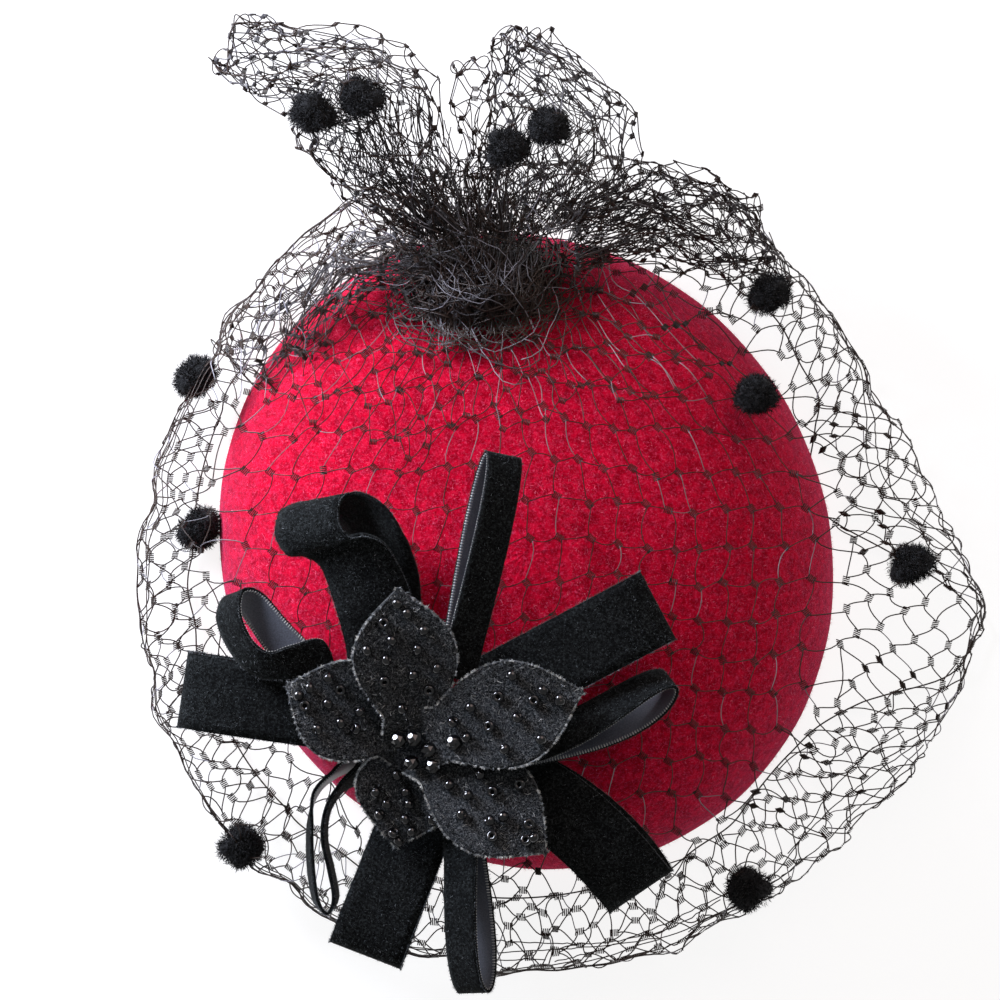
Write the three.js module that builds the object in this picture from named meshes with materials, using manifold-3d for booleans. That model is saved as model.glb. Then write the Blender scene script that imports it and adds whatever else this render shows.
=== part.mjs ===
// A cocktail fascinator: an oval felt crown with a bubble of coarse net gathered at its back edge,
// ten ribbon loops and a five-petal felt flower on its left front, and chenille dots on the net.
// Millimetres, +Z up. The crown's rim lies in the plane z = 0, with the wearer's front towards -Y.
import * as THREE from "three";
import { mergeVertices } from "three/addons/utils/BufferGeometryUtils.js";
import Module from "manifold-3d";

const wasm = await Module();
wasm.setup();

const GAP = 0.3; // clear space kept between two pieces
const SLIVER = 0.05; // a cut solid's detail under this size is smoothed away
const crown = {
  halfLength: 87.5,
  halfWidth: 80.5,
  height: 48,
  wall: 2.6,
  turn: -57, // direction of the long axis
  fullness: 2.3, // 2 is an ellipse, more is squarer
  segments: 48,
  rings: 9,
};
const net = {
  thickness: 1,
  strand: 2.6, // the coarse stand-in mesh has thick strands
  clearance: 4.4, // where the net is pressed on the crown
  beltHeight: 14, // height at which the bubble is widest
  hemClearance: 7, // the hem comes back under the bubble to this far outside the crown
  hemHeight: 1.2,
  columns: 12,
  rows: 7,
  beltRow: 0.74, // share of the rows above the belt
};
// The bubble's widest reach from the crown's middle, in each direction.
const veilReach = [
  { direction: -165, reach: 106.5 },
  { direction: -133, reach: 111 },
  { direction: -104, reach: 112.5 },
  { direction: -74, reach: 113.5 },
  { direction: -46, reach: 115 },
  { direction: -24, reach: 120.5 },
  { direction: -9, reach: 124 },
  { direction: 8, reach: 111 },
  { direction: 28, reach: 103.5 },
  { direction: 50, reach: 106.5 },
  { direction: 66, reach: 110.5 },
  { direction: 95, reach: 104.5 },
  { direction: 120, reach: 105 },
  { direction: 150, reach: 100.5 },
  { direction: 175, reach: 103.5 },
];
const gather = { x: -10.3, y: 74.5, halfLength: 23, halfWidth: 15, height: 12, pleats: 7, pleatDepth: 0.08 };
const flower = {
  x: -29.6,
  y: -50,
  slope: 0.55,
  padRadius: 15,
  padThickness: 2,
  coreRadius: 3.3,
  coreTop: 10,
};
// How far round the flower and the gather the net is pressed down, and how low at most.
const dip = { flowerInner: 26, flowerOuter: 60, gatherInner: 26, gatherOuter: 52, floor: 16 };
const wideRibbon = { width: 20, thickness: 1 };
const narrowRibbon = { width: 10, thickness: 0.9 };
const comb = {
  teeth: 11,
  pitch: 5,
  tooth: 2.2,
  bar: 6,
  length: 30,
  edge: 72, // from the crown's middle to the bar's outer edge
  thickness: 1.6,
  clearance: 1.8, // between the comb's middle and the inside of the felt
};
const bead = { radius: 1.9, level: 13.2 };
const dot = { radius: 4.4, locks: 1.35 }; // its locks reach out to this share of its radius

const finishes = {
  redFelt: { color: 0xc80f2e, roughness: 0.95 },
  charcoalFelt: { color: 0x262a2d, roughness: 0.95 },
  velvet: { color: 0x17191b, roughness: 0.9 },
  net: { color: 0x3a3531, roughness: 0.6 },
  glass: { color: 0x0a0a0c, roughness: 0.08 },
  chenille: { color: 0x111214, roughness: 1 },
  plastic: { color: 0x141414, roughness: 0.4 },
};

const fascinator = new THREE.Group();
const rad = THREE.MathUtils.degToRad;
const { clamp, lerp, smoothstep } = THREE.MathUtils;
const up = new THREE.Vector3(0, 0, 1);
const heading = (degrees) => new THREE.Vector3(Math.cos(rad(degrees)), Math.sin(rad(degrees)), 0);

function addMesh(name, geometry, finish) {
  const mesh = new THREE.Mesh(geometry, new THREE.MeshStandardMaterial({ ...finish, metalness: 0 }));
  mesh.name = name;
  fascinator.add(mesh);
  return mesh;
}

// ---------- solids from surfaces ----------

// A closed solid of even thickness round a surface. Each cell is a ring of [u, v] corners,
// anticlockwise about the surface's normal, and a strand width cuts a hole through its middle.
function sheetSolid({ cells, surface, thickness, strand = 0, period = 0 }) {
  const positions = [];
  const triangles = [];
  const known = new Map();
  const STEP = 1e-3;
  const LEAST_OPENING = 0.3; // a cell whose hole would be a smaller share of it than this stays whole

  // The pair of vertices, above and below the surface, at one parameter point.
  function pair(u, v) {
    const wrapped = period ? ((u % period) + period) % period : u;
    const key = `${wrapped.toFixed(6)},${v.toFixed(6)}`;
    if (known.has(key)) return known.get(key);
    const middle = surface(u, v);
    const alongU = surface(u + STEP, v).sub(surface(u - STEP, v));
    const alongV = surface(u, v + STEP).sub(surface(u, v - STEP));
    const offset = alongU.cross(alongV).setLength(thickness / 2);
    const index = positions.length / 3;
    positions.push(...middle.clone().add(offset), ...middle.clone().sub(offset));
    known.set(key, index);
    return index;
  }
  const quad = (a, b, c, d) => triangles.push(a, b, c, a, c, d);

  const edges = new Map();
  for (const cell of cells) {
    const corners = cell.map(([u, v]) => pair(u, v));
    const share = 1 - strand / 2 / inradius(cell.map(([u, v]) => surface(u, v)));
    corners.forEach((from, k) => {
      const to = corners[(k + 1) % corners.length];
      if (edges.has(`${to},${from}`)) edges.delete(`${to},${from}`);
      else edges.set(`${from},${to}`, [from, to]);
    });
    if (strand === 0 || share < LEAST_OPENING) {
      for (let k = 1; k < corners.length - 1; k++) {
        triangles.push(corners[0], corners[k], corners[k + 1]);
        triangles.push(corners[0] + 1, corners[k + 1] + 1, corners[k] + 1);
      }
      continue;
    }
    const centre = [0, 1].map((k) => cell.reduce((sum, corner) => sum + corner[k], 0) / cell.length);
    const inner = cell.map(([u, v]) => pair(lerp(centre[0], u, share), lerp(centre[1], v, share)));
    corners.forEach((from, k) => {
      const next = (k + 1) % corners.length;
      quad(from, corners[next], inner[next], inner[k]);
      quad(from + 1, inner[k] + 1, inner[next] + 1, corners[next] + 1);
      quad(inner[k], inner[next], inner[next] + 1, inner[k] + 1);
    });
  }
  for (const [from, to] of edges.values()) quad(from, from + 1, to + 1, to);

  const geometry = new THREE.BufferGeometry();
  geometry.setAttribute("position", new THREE.Float32BufferAttribute(positions, 3));
  geometry.setIndex(triangles);
  return geometry;
}

// Area over half the perimeter: how far a polygon's middle is from its sides.
function inradius(points) {
  let area = 0;
  let perimeter = 0;
  points.forEach((point, k) => {
    const next = points[(k + 1) % points.length];
    perimeter += point.distanceTo(next);
    if (k > 1) {
      const first = points[k - 1].clone().sub(points[0]);
      area += first.cross(point.clone().sub(points[0])).length() / 2;
    }
  });
  return (2 * area) / perimeter;
}

// Plain cells: a grid of u by v quadrilaterals over the unit square.
function gridCells(alongCount, acrossCount) {
  const cells = [];
  for (let i = 0; i < alongCount; i++)
    for (let j = 0; j < acrossCount; j++) {
      const [u0, u1] = [i / alongCount, (i + 1) / alongCount];
      const [v0, v1] = [j / acrossCount, (j + 1) / acrossCount];
      cells.push([[u0, v0], [u1, v0], [u1, v1], [u0, v1]]);
    }
  return cells;
}

// Diamond cells of a knotted net, with half diamonds along its selvedges.
function netCells(columns, rows, closed) {
  const cells = [];
  const columnCount = closed ? 2 * columns : 2 * columns + 1;
  const inside = (i, j) => (closed || (i >= 0 && i <= 2 * columns)) && j >= 0 && j <= rows;
  for (let i = 0; i < columnCount; i++)
    for (let j = 0; j <= rows; j++) {
      if ((i + j) % 2 === 0) continue;
      const corners = [[i + 1, j], [i, j + 1], [i - 1, j], [i, j - 1]].filter(([a, b]) => inside(a, b));
      if (corners.length > 2) cells.push(corners.map(([a, b]) => [a / (2 * columns), b / rows]));
    }
  return cells;
}

// A cell with a corner added in the middle of each side, so that it follows a tight bend.
const rounded = (cell) =>
  cell.flatMap(([u, v], k) => {
    const [nextU, nextV] = cell[(k + 1) % cell.length];
    return [[u, v], [(u + nextU) / 2, (v + nextV) / 2]];
  });

function toManifold(geometry) {
  const plain = mergeVertices(stripped(geometry), 1e-3);
  const vertProperties = new Float32Array(plain.attributes.position.array);
  const triVerts = new Uint32Array(plain.index.array);
  return new wasm.Manifold(new wasm.Mesh({ numProp: 3, vertProperties, triVerts }));
}

function stripped(geometry) {
  const bare = geometry.clone();
  bare.deleteAttribute("normal");
  bare.deleteAttribute("uv");
  return bare;
}

// The largest body of a cut solid, without the slivers of the cut: a scrap cut off all round is left out.
function fromManifold(solid) {
  const bodies = solid.simplify(SLIVER).decompose().sort((a, b) => b.volume() - a.volume());
  const mesh = bodies[0].getMesh();
  const geometry = new THREE.BufferGeometry();
  geometry.setAttribute("position", new THREE.BufferAttribute(mesh.vertProperties, 3));
  geometry.setIndex(new THREE.BufferAttribute(mesh.triVerts, 1));
  return geometry;
}

// ---------- the crown and the comb ----------

const longAxis = heading(crown.turn);
const shortAxis = heading(crown.turn + 90);

// Height of the crown's outside, grown by a clearance, above a point of the plan.
function crownHeight(x, y, clearance = 0) {
  const point = new THREE.Vector3(x, y, 0);
  const share = Math.hypot(
    point.dot(longAxis) / (crown.halfLength + clearance),
    point.dot(shortAxis) / (crown.halfWidth + clearance),
  );
  if (share >= 1) return 0;
  return (crown.height + clearance) * (1 - share ** crown.fullness) ** (1 / crown.fullness);
}

// How far the crown's rim is from its middle in any direction.
function crownReach(degrees) {
  const turned = rad(degrees - crown.turn);
  return 1 / Math.hypot(Math.cos(turned) / crown.halfLength, Math.sin(turned) / crown.halfWidth);
}

// The dome's closed outline from its rim to its top, as distance from the axis and height.
function domeProfile(radius, height) {
  const points = [];
  for (let k = 0; k <= crown.rings; k++) {
    const share = Math.cos((k / crown.rings) * (Math.PI / 2)) ** (2 / crown.fullness);
    const lift = Math.sin((k / crown.rings) * (Math.PI / 2)) ** (2 / crown.fullness);
    points.push(new THREE.Vector2(k === crown.rings ? 0 : radius * share, k === 0 ? 0 : height * lift));
  }
  return points;
}

function domeSolid(profile) {
  const radius = (crown.halfLength + crown.halfWidth) / 2;
  const dome = new THREE.LatheGeometry(profile, crown.segments);
  dome.rotateX(Math.PI / 2);
  dome.scale(crown.halfLength / radius, crown.halfWidth / radius, 1);
  dome.rotateZ(rad(crown.turn));
  return dome;
}

function crownShell() {
  const radius = (crown.halfLength + crown.halfWidth) / 2;
  const outside = domeProfile(radius, crown.height);
  const inside = domeProfile(radius - crown.wall, crown.height - crown.wall).reverse();
  return domeSolid([...inside, ...outside]);
}
addMesh("crown", crownShell(), finishes.redFelt);

// A solid dome a little larger than the crown, to cut what lies on it.
function crownClearance(clearance) {
  const radius = (crown.halfLength + crown.halfWidth) / 2;
  const outline = domeProfile(radius + clearance, crown.height + clearance);
  return domeSolid([new THREE.Vector2(0, 0), ...outline]);
}

// The comb follows the inside of the crown, with its bar near the front rim.
function combSolid() {
  const under = crown.wall + comb.clearance;
  const count = 2 * comb.teeth - 1;
  const width = comb.teeth * comb.tooth + (comb.teeth - 1) * (comb.pitch - comb.tooth);
  const space = comb.pitch - comb.tooth;
  const side = (k) => Math.ceil(k / 2) * comb.tooth + Math.floor(k / 2) * space - width / 2;
  const reach = comb.bar + comb.length;
  const surface = (u, v) => {
    const point = longAxis.clone().multiplyScalar(comb.edge - v).addScaledVector(shortAxis, u);
    return point.setZ(crownHeight(point.x, point.y, -under));
  };
  const cells = [];
  for (let k = 0; k < count; k++) {
    const [u0, u1] = [side(k), side(k + 1)];
    cells.push([[u0, 0], [u1, 0], [u1, comb.bar], [u0, comb.bar]]);
    if (k % 2 === 0) cells.push([[u0, comb.bar], [u1, comb.bar], [u1, reach], [u0, reach]]);
  }
  return sheetSolid({ cells, surface, thickness: comb.thickness });
}
addMesh("comb", combSolid(), finishes.plastic);

// ---------- the veil ----------

// The bubble's reach in any direction: a smooth periodic curve through the named reaches.
function reachAt(direction) {
  const count = veilReach.length;
  const turned = ((((direction + 165) % 360) + 360) % 360) - 165;
  let k = count - 1;
  while (k > 0 && veilReach[k].direction > turned) k--;
  const row = (n) => {
    const turns = Math.floor(n / count);
    const { direction: angle, reach } = veilReach[n - turns * count];
    return { angle: angle + 360 * turns, reach };
  };
  const [before, from, to, after] = [row(k - 1), row(k), row(k + 1), row(k + 2)];
  const span = to.angle - from.angle;
  const t = (turned - from.angle) / span;
  const startSlope = ((to.reach - before.reach) / (to.angle - before.angle)) * span;
  const endSlope = ((after.reach - from.reach) / (after.angle - from.angle)) * span;
  return (
    (2 * t ** 3 - 3 * t ** 2 + 1) * from.reach +
    (t ** 3 - 2 * t ** 2 + t) * startSlope +
    (3 * t ** 2 - 2 * t ** 3) * to.reach +
    (t ** 3 - t ** 2) * endSlope
  );
}

// Height of the net above the belt: a full bubble, pressed on the crown under the flower and the gather.
function veilHeight(x, y) {
  const reach = reachAt(THREE.MathUtils.radToDeg(Math.atan2(y, x)));
  const share = Math.min(Math.hypot(x, y) / reach, 1);
  const bubble = lerp(net.beltHeight, crown.height + net.clearance, Math.sqrt(1 - share ** 2));
  const pressed = Math.min(bubble, Math.max(crownHeight(x, y, net.clearance), dip.floor));
  const flowerAway = Math.hypot(x - flower.x, y - flower.y);
  const gatherAway = Math.hypot(x - gather.x, y - gather.y);
  const flowerPress = 1 - smoothstep(flowerAway, dip.flowerInner, dip.flowerOuter);
  const gatherPress = 1 - smoothstep(gatherAway, dip.gatherInner, dip.gatherOuter);
  return lerp(bubble, pressed, Math.max(flowerPress, gatherPress));
}

// The net's surface: round its turns with u, and from the gather over the belt to the hem with v.
function veilSurface(u, v) {
  const degrees = 360 * u;
  const reach = reachAt(degrees);
  const outward = heading(degrees);
  const belt = outward.clone().multiplyScalar(reach);
  if (v > net.beltRow) {
    const quarter = ((v - net.beltRow) / (1 - net.beltRow)) * (Math.PI / 2);
    const radius = lerp(reach, crownReach(degrees) + net.hemClearance, 1 - Math.cos(quarter));
    const height = lerp(net.beltHeight, net.hemHeight, Math.sin(quarter));
    return outward.multiplyScalar(radius).setZ(height);
  }
  const middle = new THREE.Vector3(gather.x, gather.y, 0);
  const start = belt.clone().sub(middle).setLength(gather.halfWidth / 2).add(middle);
  const point = start.lerp(belt, Math.sin((v / net.beltRow) * (Math.PI / 2)));
  return point.setZ(veilHeight(point.x, point.y));
}

// ---------- loops of ribbon and of net ----------

// A bow loop: out along its lower layer, round the fold at its tip and back along the upper one.
// sway bends it sideways, bank tips it about its own length, arch lifts its middle.
// swell and fullness shape the teardrop that its two layers make.
const teardrop = { swell: 0.65, fullness: 1.5 };
function loopSurface(loop) {
  const { x, y, z, heading: direction, reach, rootZ, arch = 0, sway = 0, mouth, pinch = 1.6 } = loop;
  const { rootBank = 0, tipBank = 0, width, rootWidth = width, tipWidth = width } = loop;
  const along = heading(direction);
  const side = heading(direction + 90);
  const tip = new THREE.Vector3(x, y, 0);
  return (u, v) => {
    const turn = 2 * Math.PI * clamp(u, 0, 1);
    const share = (1 - Math.cos(turn)) / 2;
    const open = Math.abs(Math.sin(turn / 2)) ** teardrop.fullness;
    const swell = -teardrop.swell * mouth * Math.sin(turn) * open;
    const lift = swell - (pinch / 2) * Math.cos(turn / 2);
    const bulge = 4 * share * (1 - share);
    const bank = rad(lerp(rootBank, tipBank, share));
    const squareOff = heading(direction + 90).addScaledVector(along, (-4 * sway * (1 - 2 * share)) / reach);
    const upward = up.clone().multiplyScalar(Math.cos(bank)).addScaledVector(side, Math.sin(bank));
    const across = squareOff.normalize().multiplyScalar(Math.cos(bank)).addScaledVector(up, -Math.sin(bank));
    const breadth = lerp(lerp(rootWidth, tipWidth, share), width, bulge);
    return tip
      .clone()
      .addScaledVector(along, reach * (share - 1))
      .addScaledVector(side, sway * bulge)
      .addScaledVector(up, lerp(rootZ, z, share) + arch * bulge)
      .addScaledVector(upward, lift)
      .addScaledVector(across, (0.5 - v) * breadth);
  };
}

// The flower leans outwards with the crown's side.
const inward = new THREE.Vector3(-flower.x, -flower.y, 0).normalize();
const padLift = net.clearance + net.thickness / 2 + 2 * GAP + flower.padThickness / 2;
function flowerPlane(x, y) {
  const rise = flower.slope * ((x - flower.x) * inward.x + (y - flower.y) * inward.y);
  return crownHeight(flower.x, flower.y) + padLift + rise;
}

const ribbonSteps = 18;
// A loop sewn to the flower: its tip is placed, and its root is at a level above the felt pad.
function addLoop(name, ribbon, { level, ...loop }) {
  const root = heading(loop.heading).multiplyScalar(-loop.reach).add(new THREE.Vector3(loop.x, loop.y, 0));
  const surface = loopSurface({ ...loop, rootZ: flowerPlane(root.x, root.y) + level, width: ribbon.width });
  const cells = gridCells(ribbonSteps, 1);
  addMesh(name, sheetSolid({ cells, surface, thickness: ribbon.thickness }), finishes.velvet);
}

// x, y and z are the middle of the fold at the loop's tip.
const wideLoops = [
  {
    name: "wide_loop_left", x: -90.8, y: -36.4, z: 38.3, heading: 171.5, reach: 45, level: 1.5, arch: 1,
    mouth: 9, tipBank: 4,
  },
  {
    name: "wide_loop_upper_right", x: 34.2, y: -14.1, z: 58.5, heading: 28, reach: 55, level: 1.3, arch: 1.2,
    mouth: 11,
  },
  {
    name: "wide_loop_lower_right", x: 30.2, y: -89.4, z: 46, heading: -37, reach: 54, level: 1.8, arch: 4.6,
    sway: 4.5, mouth: 8, tipBank: -12,
  },
  {
    name: "wide_loop_bottom", x: -42.7, y: -106.6, z: 37, heading: -111, reach: 42, level: 1, arch: 1,
    mouth: 10, tipBank: -4,
  },
];
for (const { name, ...loop } of wideLoops) addLoop(name, wideRibbon, loop);

const narrowLoops = [
  {
    name: "narrow_loop_top", x: -6.3, y: 25.5, z: 59.5, heading: 78, reach: 60, level: 4.6, arch: 2, mouth: 8,
    rootBank: -5, tipBank: -8,
  },
  {
    name: "narrow_loop_right", x: 38, y: -34, z: 57.5, heading: 22.4, reach: 47, level: 6.2, arch: 1.2,
    sway: -3, mouth: 9, tipBank: 60,
  },
  {
    name: "narrow_loop_bottom", x: -13.8, y: -116.4, z: 42, heading: -86, reach: 47, level: 7.5, arch: 2,
    mouth: 8, rootBank: -30, tipBank: -42,
  },
];
for (const { name, ...loop } of narrowLoops) addLoop(name, narrowRibbon, loop);

// Three loops wander as they go, so each has a row for each bend: its middle line, the direction of
// its width in plan, and how far that width is tipped up.
const rolledLoop = [
  { x: -37, y: -34, z: 49.8, across: 20, tip: 0 },
  { x: -37, y: -22, z: 51, across: 20, tip: 10 },
  { x: -37, y: -11, z: 51.8, across: 20, tip: 22 },
  { x: -37.6, y: -3.5, z: 53.6, across: 18, tip: 38 },
  { x: -39.4, y: 4, z: 56.3, across: 12, tip: 54 },
  { x: -43.6, y: 11, z: 57.2, across: 8, tip: 58 },
  { x: -51, y: 14.2, z: 57.8, across: 10, tip: 52 },
  { x: -57.5, y: 12.4, z: 58.6, across: 12, tip: 46 },
  { x: -59, y: 6.5, z: 60.4, across: 12, tip: 40 },
  { x: -56, y: 2.2, z: 60.4, across: 16, tip: 43 },
  { x: -50.5, y: 2, z: 60, across: 20, tip: 46 },
  { x: -46, y: -0.5, z: 59.4, across: 20, tip: 32 },
  { x: -43, y: -6, z: 57.6, across: 19, tip: 17 },
  { x: -40.5, y: -13, z: 56, across: 20, tip: 4 },
  { x: -38.3, y: -22, z: 54, across: 20, tip: 0 },
  { x: -37, y: -34, z: 51.4, across: 20, tip: 0 },
];
const twistedLoop = [
  { x: -49.5, y: -36.5, z: 49.8, across: 100, tip: 0 },
  { x: -54.3, y: -28, z: 52.3, across: 85, tip: 10 },
  { x: -62.7, y: -29, z: 53.3, across: 85, tip: 30 },
  { x: -69.7, y: -29.5, z: 52.3, across: 60, tip: 45 },
  { x: -75.2, y: -25, z: 51.8, across: 30, tip: 50 },
  { x: -78.7, y: -17, z: 51.3, across: 10, tip: 50 },
  { x: -77.2, y: -11, z: 48.8, across: 20, tip: 60 },
  { x: -72.7, y: -13.5, z: 47.8, across: 40, tip: 40 },
  { x: -65.7, y: -22.5, z: 48.4, across: 50, tip: 20 },
  { x: -57.7, y: -30.5, z: 48.7, across: 65, tip: 5 },
  { x: -50.5, y: -37.5, z: 47.8, across: 95, tip: 0 },
];
const hangingLoop = [
  { x: -45.5, y: -55.5, z: 35.5, across: 135, tip: 70 },
  { x: -51, y: -59, z: 34.5, across: 140, tip: 80 },
  { x: -56, y: -64, z: 33.5, across: 160, tip: 84 },
  { x: -57.5, y: -72.5, z: 32.5, across: 180, tip: 84 },
  { x: -57.4, y: -83, z: 31.5, across: 180, tip: 84 },
  { x: -56, y: -92.5, z: 30.5, across: 180, tip: 84 },
  { x: -53, y: -96, z: 30, across: 180, tip: 84 },
  { x: -50.8, y: -92, z: 30, across: 180, tip: 84 },
  { x: -52, y: -84.5, z: 30.5, across: 180, tip: 84 },
  { x: -53.7, y: -76.5, z: 31.5, across: 180, tip: 84 },
  { x: -53, y: -69, z: 32.5, across: 170, tip: 84 },
  { x: -49.5, y: -63, z: 33.5, across: 150, tip: 80 },
  { x: -44, y: -59, z: 34.5, across: 135, tip: 70 },
];
function tableSurface(rows, width) {
  const bends = rows.map(({ x, y, z }) => new THREE.Vector3(x, y, z));
  const spine = new THREE.CatmullRomCurve3(bends, false, "catmullrom", 0.5);
  return (u, v) => {
    const place = clamp(u, 0, 1) * (rows.length - 1);
    const k = Math.min(Math.floor(place), rows.length - 2);
    const across = heading(lerp(rows[k].across, rows[k + 1].across, place - k));
    const tip = rad(lerp(rows[k].tip, rows[k + 1].tip, place - k));
    across.multiplyScalar(Math.cos(tip)).addScaledVector(up, Math.sin(tip));
    return spine.getPoint(clamp(u, 0, 1)).addScaledVector(across, (v - 0.5) * width);
  };
}
function addTableLoop(name, ribbon, rows) {
  const cells = gridCells(2 * (rows.length - 1), 1);
  const surface = tableSurface(rows, ribbon.width);
  addMesh(name, sheetSolid({ cells, surface, thickness: ribbon.thickness }), finishes.velvet);
}
addTableLoop("wide_loop_upper_left", wideRibbon, rolledLoop);
addTableLoop("narrow_loop_upper_left", narrowRibbon, twistedLoop);
addTableLoop("narrow_loop_lower_left", narrowRibbon, hangingLoop);

// ---------- the flower ----------

// A felt disc that leans with the crown, and an upright rolled core that the petals are sewn round.
function feltPad() {
  const level = flowerPlane(flower.x, flower.y);
  const disc = new THREE.CylinderGeometry(flower.padRadius, flower.padRadius, flower.padThickness, 20);
  const lean = new THREE.Vector3(-flower.slope * inward.x, -flower.slope * inward.y, 1).normalize();
  disc.rotateX(Math.PI / 2);
  disc.applyQuaternion(new THREE.Quaternion().setFromUnitVectors(up, lean));
  const core = new THREE.CylinderGeometry(flower.coreRadius, flower.coreRadius, flower.coreTop, 12);
  core.rotateX(Math.PI / 2).translate(0, 0, flower.coreTop / 2);
  return fromManifold(toManifold(disc).add(toManifold(core))).translate(flower.x, flower.y, level);
}
addMesh("flower_pad", feltPad(), finishes.charcoalFelt);

const petal = {
  thickness: 1.3,
  rootRadius: 4.5,
  rootWidth: 7,
  tipWidth: 0.8,
  cup: 1.6, // how far its two edges curl up
  broadest: 1.15, // over 1 puts the broadest place past the middle
  rootFullness: 0.75, // under 1 makes that end blunt, and over 1 makes it pointed
  tipFullness: 1.05,
  steps: 8,
};
// level is the root's height above the pad, z the tip's, and arch lifts the middle.
const petals = [
  { name: "petal_lower_left", heading: -100, reach: 28, width: 25, level: 4, z: 44, arch: 2.5 },
  { name: "petal_lower_right", heading: -40, reach: 45.5, width: 26, level: 7.5, z: 59.5, arch: 2.5 },
  { name: "petal_left", heading: 156, reach: 37, width: 26, level: 6, z: 56, arch: 2.5 },
  { name: "petal_right", heading: 17, reach: 46.5, width: 27, level: 8, z: 66, arch: 2.5 },
  { name: "petal_top", heading: 96, reach: 41, width: 26, level: 10.3, z: 67, arch: 1.8 },
];
// Width of a petal along its length: broad past the middle and pointed at the tip.
function petalShape(share) {
  const fullness = lerp(petal.rootFullness, petal.tipFullness, share);
  return Math.sin(Math.PI * clamp(share, 0, 1) ** petal.broadest) ** fullness;
}
function petalSurface({ heading: direction, reach, width, level, z, arch }) {
  const along = heading(direction);
  const side = heading(direction + 90);
  const middle = new THREE.Vector3(flower.x, flower.y, 0);
  const root = along.clone().multiplyScalar(petal.rootRadius).add(middle);
  const rootZ = flowerPlane(root.x, root.y) + level;
  return (u, v) => {
    const breadth = Math.max(width * petalShape(u), lerp(petal.rootWidth, petal.tipWidth, u));
    const across = (v - 0.5) * 2;
    const curl = petal.cup * across ** 2 * petalShape(u);
    return middle
      .clone()
      .addScaledVector(along, lerp(petal.rootRadius, reach, u))
      .addScaledVector(side, (across * breadth) / 2)
      .setZ(lerp(rootZ, z, u) + arch * 4 * u * (1 - u) + curl);
  };
}
for (const { name, ...shape } of petals) {
  const cells = gridCells(petal.steps, 4);
  const solid = sheetSolid({ cells, surface: petalSurface(shape), thickness: petal.thickness });
  addMesh(name, solid, finishes.charcoalFelt);
}

const centreBeads = [
  { name: "centre_bead_1", x: -33.8, y: -49.5 },
  { name: "centre_bead_2", x: -29.6, y: -49.1 },
  { name: "centre_bead_3", x: -25.9, y: -52.1 },
  { name: "centre_bead_4", x: -30.4, y: -55.5 },
  { name: "centre_bead_5", x: -24.7, y: -56.3 },
  { name: "centre_bead_6", x: -19.2, y: -50 },
];
for (const { name, x, y } of centreBeads) {
  const facets = new THREE.SphereGeometry(bead.radius, 6, 5);
  addMesh(name, facets, finishes.glass).position.set(x, y, flowerPlane(x, y) + bead.level);
}

// ---------- the gather, the ears and the dots ----------

// Pleats of bunched net, standing on the crown's back edge.
function gatherSolid() {
  const mound = new THREE.SphereGeometry(1, 6 * gather.pleats, 10);
  mound.rotateX(Math.PI / 2);
  const place = mound.attributes.position;
  const point = new THREE.Vector3();
  for (let k = 0; k < place.count; k++) {
    point.fromBufferAttribute(place, k);
    const angle = Math.atan2(point.y, point.x);
    const fold = 1 + gather.pleatDepth * Math.cos(gather.pleats * angle) * Math.hypot(point.x, point.y);
    point.multiply(new THREE.Vector3(gather.halfLength * fold, gather.halfWidth * fold, gather.height));
    place.setXYZ(k, point.x, point.y, point.z);
  }
  mound.translate(gather.x, gather.y, crownHeight(gather.x, gather.y) + gather.height / 2);
  const seat = crownClearance(net.clearance + net.thickness / 2 + 4 * GAP);
  return fromManifold(toManifold(mound).subtract(toManifold(seat)));
}
const gatherGeometry = gatherSolid();
addMesh("veil_gather", gatherGeometry, finishes.net);

const ears = [
  {
    name: "ear_left", x: -75.5, y: 133, z: 58, rootZ: 45, heading: 138, reach: 74, arch: 3, mouth: 20,
    pinch: 5, rootWidth: 24, width: 42, tipWidth: 24, columns: 4, rows: 2,
  },
  {
    name: "ear_right", x: 13.7, y: 121.8, z: 60, rootZ: 45, heading: 60, reach: 34, arch: 3, mouth: 18,
    pinch: 5, rootWidth: 26, width: 46, tipWidth: 34, columns: 4, rows: 2,
  },
];
for (const { name, columns, rows, ...loop } of ears) {
  const cells = netCells(columns, rows, false).map(rounded);
  const surface = loopSurface(loop);
  addMesh(name, sheetSolid({ cells, surface, thickness: net.thickness, strand: net.strand }), finishes.net);
}

const dots = [
  { name: "dot_upper_left", x: -88.5, y: 46.8, z: 15 },
  { name: "dot_left", x: -87.5, y: 5.8, z: 7 },
  { name: "dot_lower_left", x: -76, y: -78.8, z: 15 },
  { name: "dot_lower_right", x: 58.7, y: -89.7, z: 28 },
  { name: "dot_right", x: 102, y: -3.2, z: 33 },
  { name: "dot_back_right", x: 64.5, y: 68.6, z: 31 },
  { name: "dot_front_right", x: 60.8, y: 41.5, z: 41 },
  { name: "dot_ear_left_1", x: -56.2, y: 115.4, z: 66 },
  { name: "dot_ear_left_2", x: -44, y: 119.6, z: 66 },
  { name: "dot_ear_right_1", x: -5.4, y: 106.6, z: 63 },
  { name: "dot_ear_right_2", x: 5.8, y: 112.1, z: 65 },
];
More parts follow.
